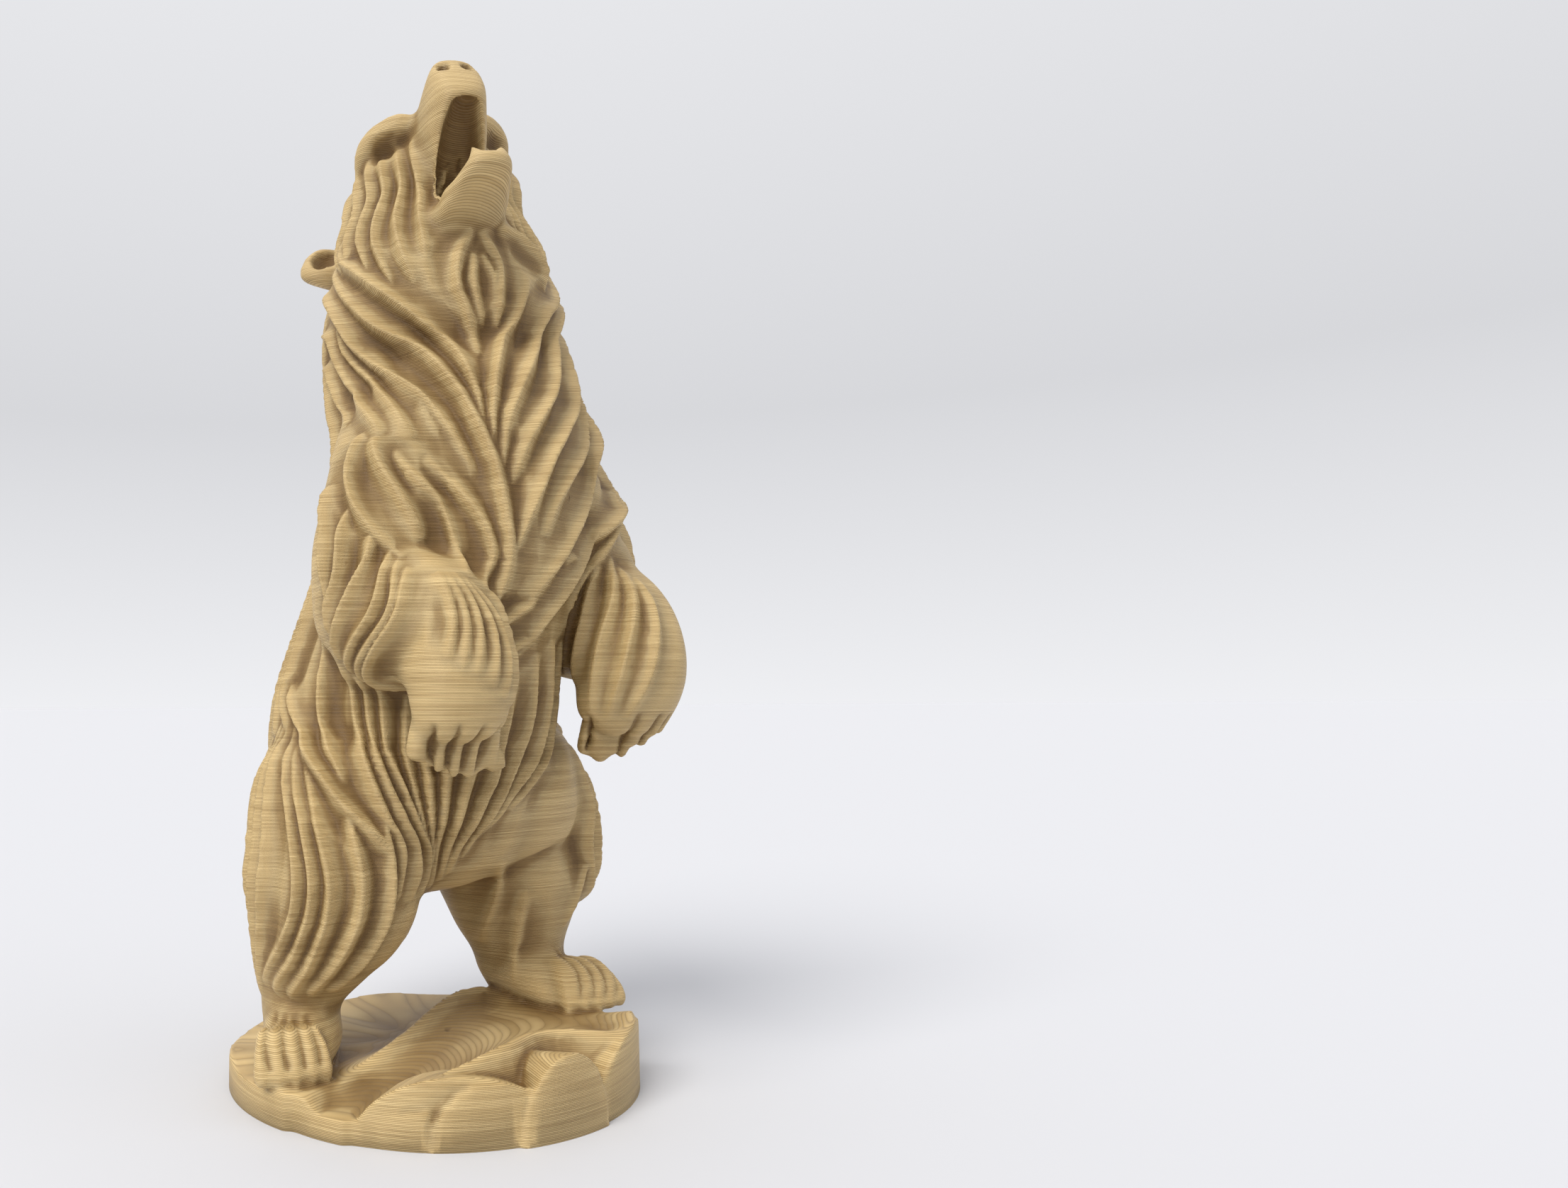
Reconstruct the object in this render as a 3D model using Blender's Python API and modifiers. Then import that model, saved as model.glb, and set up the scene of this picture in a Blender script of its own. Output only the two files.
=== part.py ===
"""Standing bear on a low rock, made as one solid piece, 150 mm high.

The bear looks along -Y, its left side is at +X and +Z is up. The origin is the centre of the
rock's flat underside. The figure is drawn in units that are millimetres at the height below, so
its pose and carving keep their shares of FIGURE_HEIGHT. Angles are in degrees round an upright
axis, 0 in front and 90 on the bear's left. The rock has sizes of its own.
"""

import math

import bmesh
import bpy
import numpy as np
from mathutils import Matrix, Vector
from mathutils.bvhtree import BVHTree

# Driving dimensions in metres
FIGURE_HEIGHT = 0.1455
ROCK_RADIUS = 0.031
ROCK_EDGE_HEIGHT = 0.0045
LEDGE_HEIGHT = 0.0105
CREST_HEIGHT = 0.0023

# Fineness of the surface
VOXEL_SIZE = 0.0008
FINE_SHARE = 0.6
TRIANGLE_BUDGET = 9600
RINGS = 40
SEGMENTS = 28
CREST_SAMPLES = 90

# The hollows beside the crests, as a share of the crests' own height
HOLLOW_SHARE = 0.6
HOLLOW_REACH = 3.4
FADE_POWER = 0.6
ROUNDING = 0.35

# Drawing units: the figure's drawn height, and the drawn heights of what its feet stand on
DRAWN_HEIGHT = 145.5
DRAWN_EDGE = 4.5
DRAWN_LEDGE = 10.5
DRAWN_RADIUS = 31
UNIT = FIGURE_HEIGHT / DRAWN_HEIGHT
EDGE = ROCK_EDGE_HEIGHT / UNIT
LEDGE = LEDGE_HEIGHT / UNIT
RADIUS = ROCK_RADIUS / UNIT
RELIEF = CREST_HEIGHT / UNIT
LIFT = EDGE - DRAWN_EDGE
STEP = (LEDGE - EDGE) - (DRAWN_LEDGE - DRAWN_EDGE)

# Stations along each body mass: x, y, z, half width, half depth
TORSO = [
    (0, 7.0, 27.0, 9.0, 8.0),
    (-0.3, 6.3, 32.0, 20.5, 15.8),
    (-0.7, 6.6, 40, 23.3, 21.6),
    (-1.6, 5.4, 50, 22.4, 22.7),
    (-0.5, 2.6, 60, 20.8, 22.2),
    (1.0, -0.9, 70, 19.3, 21.4),
    (3.0, -4.0, 80, 19.3, 21.8),
    (3.5, -4.9, 90, 19.2, 21.0),
    (3.2, -4.6, 100, 18.6, 19.9),
    (1.8, -3.2, 110, 18.6, 17.6),
    (0.6, -5.0, 120, 18.0, 17.6),
    (-0.9, -6.8, 128, 15.6, 15.8),
    (-1.6, -8.2, 134, 11.8, 12.2),
    (-1.8, -8.4, 139, 6.0, 7.0),
]
RIGHT_UPPER_ARM = [
    (-4, -8, 106, 6, 7), (-7, -11, 96, 10, 11), (-9, -13, 86, 11, 11),
    (-11.5, -13, 77, 10.5, 11), (-13.5, -12, 68, 8, 9), (-14.5, -11, 62, 5, 6),
]
RIGHT_FOREARM = [
    (-17, -8, 68, 5, 8), (-13, -14, 69, 9, 10), (-8, -22, 68, 9.5, 10),
    (-5.2, -27.3, 62, 7.8, 7.6), (-5, -28.2, 56, 6.9, 5.4), (-4.7, -27.0, 51, 5.8, 3.0),
]
LEFT_UPPER_ARM = [
    (10.5, -3, 108, 7, 8), (15.5, -3, 98, 10, 12), (19, -3, 87, 10.5, 13),
    (23, -3, 77, 10.5, 12), (25, -2, 69, 8, 10), (25, 0, 63, 5, 6),
]
LEFT_FOREARM = [
    (24, 5, 69, 6, 8), (24, -2, 71, 10, 10.5), (27, -10, 68, 9.5, 10),
    (28.0, -13.5, 62, 9.0, 8.2), (27.4, -12.6, 56, 8.2, 5.2), (26.7, -10.8, 51.5, 6.8, 3.2),
]
RIGHT_LEG = [
    (-11, 6, 52, 12, 18), (-13.2, 3, 42, 13.5, 20), (-15.0, 0.5, 33, 13.0, 18.6),
    (-16.2, 0.5, 26.5, 12.4, 15.8), (-18.3, 1.6, 20.0, 9.3, 11.4), (-19.6, 2.6, 15, 7.0, 8.2),
    (-20.2, 3, 11, 5.8, 6.6), (-20.2, 3.5, 5, 5.5, 6),
]
LEFT_LEG = [
    (8, 6, 52, 13, 19.5), (13, 7.5, 43, 14.3, 18), (17.0, 9.7, 35, 14.3, 14.0),
    (17.2, 8.8, 28, 13.6, 11.0), (17.2, 8.4, 22, 10.8, 8.6), (17.6, 8.2, 16, 7.6, 7.0),
    (17.6, 8.2, 9, 6.8, 6.4),
]
RIGHT_FOOT = [
    (-19.5, 6, 7, 5.5, 5), (-20.3, 0, 8.2, 6.0, 5.6), (-22.0, -4.5, 7.4, 5.8, 4.2),
    (-23.4, -8.5, 6.4, 5.2, 2.4), (-24.1, -12.0, 5.6, 4.6, 1.4),
]
LEFT_FOOT = [
    (17, 12, 11, 5.5, 5), (18, 6, 13, 6.2, 5.6), (20.2, 1, 12.2, 6.0, 4.2),
    (22.6, -3, 10.8, 5.4, 2.4), (23.8, -5.8, 9.9, 4.7, 1.4),
]
# Fingertips: x, y, z, radius, from each hand's outer side; the knuckles they grow from
RIGHT_KNUCKLES = (-4.6, -28.5, 58)
RIGHT_FINGERS = [
    (-10.3, -24.8, 48.8, 1.8), (-7.4, -24.5, 47.1, 1.45), (-4.8, -24.0, 46.4, 1.45),
    (-2.1, -23.6, 46.2, 1.45), (0.8, -23.2, 47.3, 1.35),
]
LEFT_KNUCKLES = (27.4, -13, 57)
LEFT_FINGERS = [
    (32.6, -12.5, 51.2, 1.6), (30.4, -11, 49.4, 1.6), (27.9, -9.2, 47.8, 1.6),
    (25.3, -7.6, 47.2, 1.6), (22.9, -7.2, 48.4, 1.6),
]
TOES = 5
TOE_RADIUS = 1.4
# A toe's arch from the instep to its tip: shares of its spread, its reach and its drop
TOE_ARCH = [(0.6, 0.0, 0.0), (0.78, 0.35, 0.08), (0.92, 0.7, 0.3), (1.0, 0.93, 0.68), (1.0, 1.0, 1.0)]

# The head has a frame of its own, at its middle, turned, raised and tilted
HEAD_MIDDLE = (-1.0, -7.0, 134.1)
HEAD_TURN, HEAD_RAISE, HEAD_TILT = -6.1, 27.5, 9.2
# Head stations: left, up, forward, half width, half height
SKULL = [
    (0, -4.0, -18, 8, 7.5), (0, -2.2, -12, 13, 11.4), (0, -0.6, -5, 14.4, 11.2),
    (0, 0, 2, 13.4, 10.2), (0, 0.8, 7, 11.4, 9), (0, 1.2, 11.5, 7, 7),
]
MUZZLE = [
    (0, 0.0, 1, 9.0, 8.6), (0, -0.8, 8, 7.2, 8.4), (0, 0.3, 13.6, 5.3, 6.4),
    (0, 1.2, 17.5, 4.6, 5.6), (0, 1.8, 20.5, 4.1, 5.2), (0, 2.1, 23.2, 3.6, 4.7),
]
JAW = [
    (0, -12.0, 3, 8, 5.0), (0, -12.4, 9.5, 6.3, 3.3), (0, -14.0, 15, 4.9, 2.2),
    (0, -15.2, 19.5, 3.9, 1.7), (0, -15.6, 23, 3.2, 1.3),
]
MOUTH = [
    (0, -7.0, 22.3, 2.8, 5.0), (0, -6.6, 19.5, 3.1, 5.5), (0, -6.4, 16, 3.4, 5.2),
    (0, -7.0, 11, 3.7, 4.2), (0, -8.4, 6, 3.3, 2.6), (0, -9.2, 2.5, 1.6, 1.2),
]
CANINE = [(1.9, -15.0, 21.4, 0.9, 0.9), (2.0, -13.6, 21.3, 0.7, 0.7), (1.9, -12.4, 21.0, 0.4, 0.4)]
TONGUE = [(-0.5, -13.2, 13.0, 0.9, 0.9), (-0.5, -11.0, 15.0, 0.8, 0.8), (-0.5, -9.0, 15.6, 0.6, 0.6)]
EAR = [
    (10.5, 0.8, -13.0, 3.6, 3.2), (13.0, 2.8, -13.6, 5.0, 3.0), (15.0, 4.4, -14.2, 5.6, 2.5),
    (16.8, 5.8, -14.6, 5.0, 1.9), (18.2, 6.8, -14.8, 3.6, 1.5),
]
EAR_CUP = [(12.4, 2.2, -11.4, 2.4, 1.6), (14.8, 4.4, -12.1, 4.0, 2.3), (17.2, 6.2, -12.7, 2.8, 1.6)]
BROW = [
    (4.2, 3.6, 14.2, 1.3, 1.3), (7.0, 4.9, 12.0, 1.9, 1.7), (10.2, 5.4, 8.6, 1.9, 1.6),
    (12.2, 4.6, 3.5, 1.4, 1.3),
]
EYE = [
    (6.3, 2.2, 13.6, 0.8, 0.7), (8.2, 2.4, 11.8, 1.6, 1.4), (9.9, 2.5, 9.6, 2.2, 1.8),
    (11.8, 2.4, 7.2, 1.2, 1.0),
]
NOSTRIL = [(1.9, 3.9, 25.4, 1.3, 1.3), (1.9, 3.9, 23.0, 1.2, 1.2), (1.7, 3.8, 20.8, 0.6, 0.6)]

# Ridges of the rock: x, y, z along the crest, drawn for the heights above
BACK_RIDGE = [
    (-18.5, -14.5, 4.6), (-15.5, -11.5, 5.4), (-11.5, -9, 6.8), (-5.5, -4, 8.2), (0.8, 2, 10.0),
    (6, 6, 10.9), (11, 7, 11.2), (14, 4, 11.0),
]
FRONT_RIDGE = [
    (-19.5, -24.5, 1.5), (-17, -24.5, 4.0), (-12.5, -25.5, 7.0), (-6, -26.5, 9.4),
    (2.5, -23.5, 11), (8.6, -19.5, 11), (14, -19.5, 10.8), (21, -21.5, 10.5), (27, -15, 11.3),
]
# Where the rock's rim has a small step, as angles, and how deep the steps are
NOTCHES = [-57, -39, -19, 31, 55]
NOTCH_DEPTH = 0.8
# How wide a band the ground changes over from one side of the back ridge to the other
SIDE_BLEND = 2.4
# Material left under the rock until it is cut flat, and the thickness of the domes
SPARE = 2.0
DOME_THICKNESS = 8.0
# Overlapping domes on the rock's front: middle angle, half angle, top height, how far they stand out
DOMES = [(-12, 27, 9.0, -0.6), (-3, 16, 8.2, 0.1), (17, 13.5, 10.8, 0.8), (52, 26, 10.6, 0.1)]


def curve_through(points, count):
    """Return count rows on a smooth curve through the rows of points."""
    rows = np.asarray(points, float)
    padded = np.vstack([2 * rows[0] - rows[1], rows, 2 * rows[-1] - rows[-2]])
    place = np.linspace(0, len(rows) - 1, count)
    start = np.minimum(place.astype(int), len(rows) - 2)
    t = (place - start)[:, None]
    a, b, c, d = (padded[start + k] for k in range(4))
    bend = 2 * a - 5 * b + 4 * c - d
    return 0.5 * (2 * b + (c - a) * t + bend * t**2 + (3 * b - a - 3 * c + d) * t**3)


def swept_ball(stations, across=(1, 0, 0), cap=0.12, squareness=1.0):
    """Stretch a ball along stations; a squareness under 1 makes its sections boxy."""
    rows = curve_through(stations, RINGS + 1)
    path = rows[:, :3]
    tangent = np.gradient(path, axis=0)
    tangent /= np.linalg.norm(tangent, axis=1)[:, None]
    deep = np.cross(tangent, np.asarray(across, float))
    deep /= np.linalg.norm(deep, axis=1)[:, None]
    wide = np.cross(deep, tangent)
    share = np.linspace(0, 1, RINGS + 1)
    end = np.clip(np.minimum(share, 1 - share) / cap, 0, 1)
    closing = np.sqrt(1 - (1 - end) ** 2)
    ball = bmesh.new()
    bmesh.ops.create_uvsphere(ball, u_segments=SEGMENTS, v_segments=RINGS, radius=1)
    for vert in ball.verts:
        ring = round((1 - math.acos(max(-1, min(1, vert.co.z))) / math.pi) * RINGS)
        turn = math.atan2(vert.co.y, vert.co.x)
        side = math.copysign(abs(math.cos(turn)) ** squareness, math.cos(turn))
        front = math.copysign(abs(math.sin(turn)) ** squareness, math.sin(turn))
        spread = wide[ring] * rows[ring, 3] * side + deep[ring] * rows[ring, 4] * front
        vert.co = Vector(path[ring] + spread * closing[ring])
    bmesh.ops.remove_doubles(ball, verts=ball.verts, dist=1e-5)
    bmesh.ops.recalc_face_normals(ball, faces=ball.faces)
    return ball


def mesh_object(shapes, name):
    """Put several bmesh shapes in one mesh object."""
    whole = bmesh.new()
    for shape in shapes:
        piece = bpy.data.meshes.new("piece")
        shape.to_mesh(piece)
        shape.free()
        whole.from_mesh(piece)
        bpy.data.meshes.remove(piece)
    mesh = bpy.data.meshes.new(name)
    whole.to_mesh(mesh)
    whole.free()
    return bpy.data.objects.new(name, mesh)


def apply_modifiers(body):
    """Make the object's mesh the result of its modifiers."""
    graph = bpy.context.evaluated_depsgraph_get()
    result = bpy.data.meshes.new_from_object(body.evaluated_get(graph))
    body.modifiers.clear()
    before = body.data
    body.data = result
    bpy.data.meshes.remove(before)


def blend(body, voxel, rounds):
    """Fuse the overlapping shapes of a body and soften their joins."""
    fuse = body.modifiers.new("Fuse", "REMESH")
    fuse.mode = "VOXEL"
    fuse.voxel_size = voxel
    soften = body.modifiers.new("Soften", "SMOOTH")
    soften.factor = 0.5
    soften.iterations = rounds
    apply_modifiers(body)


def add_shapes(body, shapes):
    """Add closed shapes to a body's mesh, to be fused with it afterwards."""
    extra = mesh_object(shapes, "extra")
    whole = bmesh.new()
    whole.from_mesh(body.data)
    whole.from_mesh(extra.data)
    whole.to_mesh(body.data)
    whole.free()
    mesh = extra.data
    bpy.data.objects.remove(extra)
    bpy.data.meshes.remove(mesh)


# Head
def head_axes():
    """Return the head's left, up and forward directions."""
    turn, rise, tilt = (math.radians(value) for value in (HEAD_TURN, HEAD_RAISE, HEAD_TILT))
    flat = math.cos(rise)
    forward = np.array([math.sin(turn) * flat, -math.cos(turn) * flat, math.sin(rise)])
    left = np.array([math.cos(turn), math.sin(turn), 0.0])
    up = np.cross(forward, left)
    tilted_left = left * math.cos(tilt) + up * math.sin(tilt)
    tilted_up = up * math.cos(tilt) - left * math.sin(tilt)
    return tilted_left, tilted_up, forward


def head_ball(stations, side=1, **shape):
    """Sweep a ball along head stations, mirrored to the other side where side is -1."""
    axes = np.array(head_axes())
    placed = []
    for left, up, forward, wide, tall in stations:
        spot = np.array(HEAD_MIDDLE) + np.array([left * side, up, forward]) @ axes
        placed.append((*spot, wide, tall))
    return swept_ball(placed, across=tuple(axes[0]), **shape)


def both_sides(stations, **shape):
    return [head_ball(stations, side, **shape) for side in (-1, 1)]


# Hands and feet
def digit(root, tip, radius):
    """A finger or toe from root to tip, a little thinner at its end."""
    root, tip = np.array(root, float), np.array(tip, float)
    swell = ((0, 1.15), (0.5, 1.1), (0.85, 0.95), (1.0, 0.8))
    rows = [(*(root + (tip - root) * t), radius * k, radius * k) for t, k in swell]
    return swept_ball(rows, cap=0.25)


def fingers(knuckles, tips, follow):
    """Fingers that fan out from the knuckles; follow is how far their roots copy the tips."""
    middle = np.mean([tip[:3] for tip in tips], axis=0)
    roots = [np.array(knuckles) + (np.array(tip[:3]) - middle) * follow for tip in tips]
    return [digit(root, tip[:3], tip[3]) for root, tip in zip(roots, tips)]


def toes(heel, first, last, bow, height, rise):
    """A row of arched toes between first and last, bowed forward in the middle."""
    made = []
    for step in range(TOES):
        share = step / (TOES - 1)
        x = first[0] + (last[0] - first[0]) * share
        y = first[1] - bow * math.sin(math.pi * (0.15 + 0.8 * share))
        tip = (x, y, height + rise * share)
        size = TOE_RADIUS - 0.15 * abs(share - 0.45)
        rows = []
        for spread, forward, drop in TOE_ARCH:
            place = (heel[0] + (x - heel[0]) * spread, heel[1] + (tip[1] - heel[1]) * forward)
            rows.append((*place, heel[2] + (tip[2] - heel[2]) * drop, size, size))
        made.append(swept_ball(rows, cap=0.25))
    return made


# Rock
def nearest_on(ridge, x, y):
    """Distance to a ridge line, its height there, and the side (positive on its left)."""
    line = curve_through(ridge, 160)
    along = np.gradient(line[:, :2], axis=0)
    along /= np.linalg.norm(along, axis=1)[:, None]
    gap = np.stack([x, y], 1)[:, None, :] - line[None, :, :2]
    best = (gap**2).sum(2).argmin(1)
    rest = gap[np.arange(len(x)), best]
    side = along[best, 0] * rest[:, 1] - along[best, 1] * rest[:, 0]
    return np.hypot(rest[:, 0], rest[:, 1]), line[best, 2], side


def rock_top(x, y):
    """Heights of the rock at x, y, as drawn, before they are fitted to the real heights."""
    x, y = x * DRAWN_RADIUS / RADIUS, y * DRAWN_RADIUS / RADIUS
    climb = np.clip((0.95 * (x + 24) + 0.31 * (y + 20)) / 48, 0, 1)
    valley = 2.8 + 6.2 * climb * climb * (3 - 2 * climb)
    back_gap, back_height, back_side = nearest_on(BACK_RIDGE, x, y)
    front_gap, front_height, front_side = nearest_on(FRONT_RIDGE, x, y)
    wave = 0.3 * np.sin(np.arctan2(y, x) * 9) * np.hypot(x, y) / DRAWN_RADIUS
    plate = DRAWN_EDGE + wave + (back_height - DRAWN_EDGE) * np.exp(-back_gap / 2.2)
    hollow = np.maximum((back_height - valley) * np.exp(-back_gap / 3.2), 0)
    lip = np.maximum((front_height - valley) * np.exp(-front_gap / 4.5), 0)
    trough = valley + np.maximum(hollow, lip)
    apron = np.maximum(0.8, front_height - 1.2 * front_gap)
    behind = np.clip(0.5 + back_side / SIDE_BLEND, 0, 1)
    ground = behind * plate + (1 - behind) * trough
    return np.where((front_side < 0) & (behind < 1), apron, ground)


def fitted(height):
    """Stretch drawn rock heights to the rock's own edge and ledge heights, from the feet's level."""
    real = np.interp(height, (0, DRAWN_EDGE, DRAWN_LEDGE, 20), (0, EDGE, LEDGE, LEDGE + 9.5))
    return real - LIFT


def fine_cube(cuts):
    cube = bmesh.new()
    bmesh.ops.create_cube(cube, size=2)
    bmesh.ops.subdivide_edges(cube, edges=cube.edges[:], cuts=cuts, use_grid_fill=True)
    places = np.array([vert.co[:] for vert in cube.verts])
    return cube, places[:, 0], places[:, 1], places[:, 2]


def rim_radius(angle):
    """Radius of the rock's rim, which steps in by NOTCH_DEPTH after each of its notches."""
    angles, radii = [-180], [RADIUS]
    for start, end in zip(NOTCHES, NOTCHES[1:] + [180]):
        angles += [start - 0.5, start + 0.5]
        radii += [RADIUS, RADIUS - NOTCH_DEPTH]
    return np.interp(angle, angles + [100, 180], radii + [RADIUS, RADIUS])


def rock_plate():
    """The rock's body: a fine cube drawn out to a disc whose top follows rock_top."""
    rock, u, v, w = fine_cube(70)
    x = u * np.sqrt(1 - v * v / 2)
    y = v * np.sqrt(1 - u * u / 2)
    rim = rim_radius(np.degrees(np.arctan2(x, -y)))
    x, y = x * rim, y * rim
    top = fitted(rock_top(x, y))
    z = -SPARE - LIFT + (w + 1) / 2 * (top + SPARE + LIFT)
    for vert, place in zip(rock.verts, np.stack([x, y, z], 1)):
        vert.co = Vector(place)
    return rock


def rock_dome(middle, half, top, out):
    """A wall bent round the rim, with an arched top."""
    dome, u, v, w = fine_cube(24)
    angle = np.radians(middle + half * u)
    radius = RADIUS + out - (1 - v) / 2 * DOME_THICKNESS
    arch = top * np.sqrt(np.clip(1 - u * u, 0, 1)) * (0.85 + 0.15 * (v + 1) / 2)
    z = -SPARE - LIFT + (w + 1) / 2 * (fitted(arch) + SPARE + LIFT)
    for vert, place in zip(dome.verts, np.stack([np.sin(angle) * radius, -np.cos(angle) * radius, z], 1)):
        vert.co = Vector(place)
    bmesh.ops.recalc_face_normals(dome, faces=dome.faces)
    return dome


# Carving
def body_axis(height):
    """Middle of the torso at a height."""
    rows = np.array(TORSO)
    return np.interp(height, rows[:, 2], rows[:, 0]), np.interp(height, rows[:, 2], rows[:, 1])


def post(x, y):
    """An upright axis through x, y."""
    return lambda height: (x, y)


def outside(reach):
    """A start at one distance from the axis."""
    return lambda angle, height: reach


def behind_paws(angle, height):
    """A start outside the hips, but between the belly and the paws that hang in front of it."""
    return 27 if -38 < angle < 75 and height > 44 else 45


# Axis of each carved region, and the distance from it at which a line starts inwards
REGIONS = {
    "body": (body_axis, outside(45)),
    "belly": (body_axis, behind_paws),
    "right shoulder": (post(-9, -12), outside(18)),
    "right arm": (post(-9, -20), outside(19)),
    "left arm": (post(25, -5), outside(19)),
    "right leg": (post(-17, 2), outside(24)),
    "left leg": (post(17, 9), outside(19)),
    "right foot": (post(-22, 4), outside(26)),
    "left foot": (post(20, 8), outside(24)),
    "right hand": (post(-5, -15), outside(18)),
    "left hand": (post(27, -2), outside(16)),
}
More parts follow.
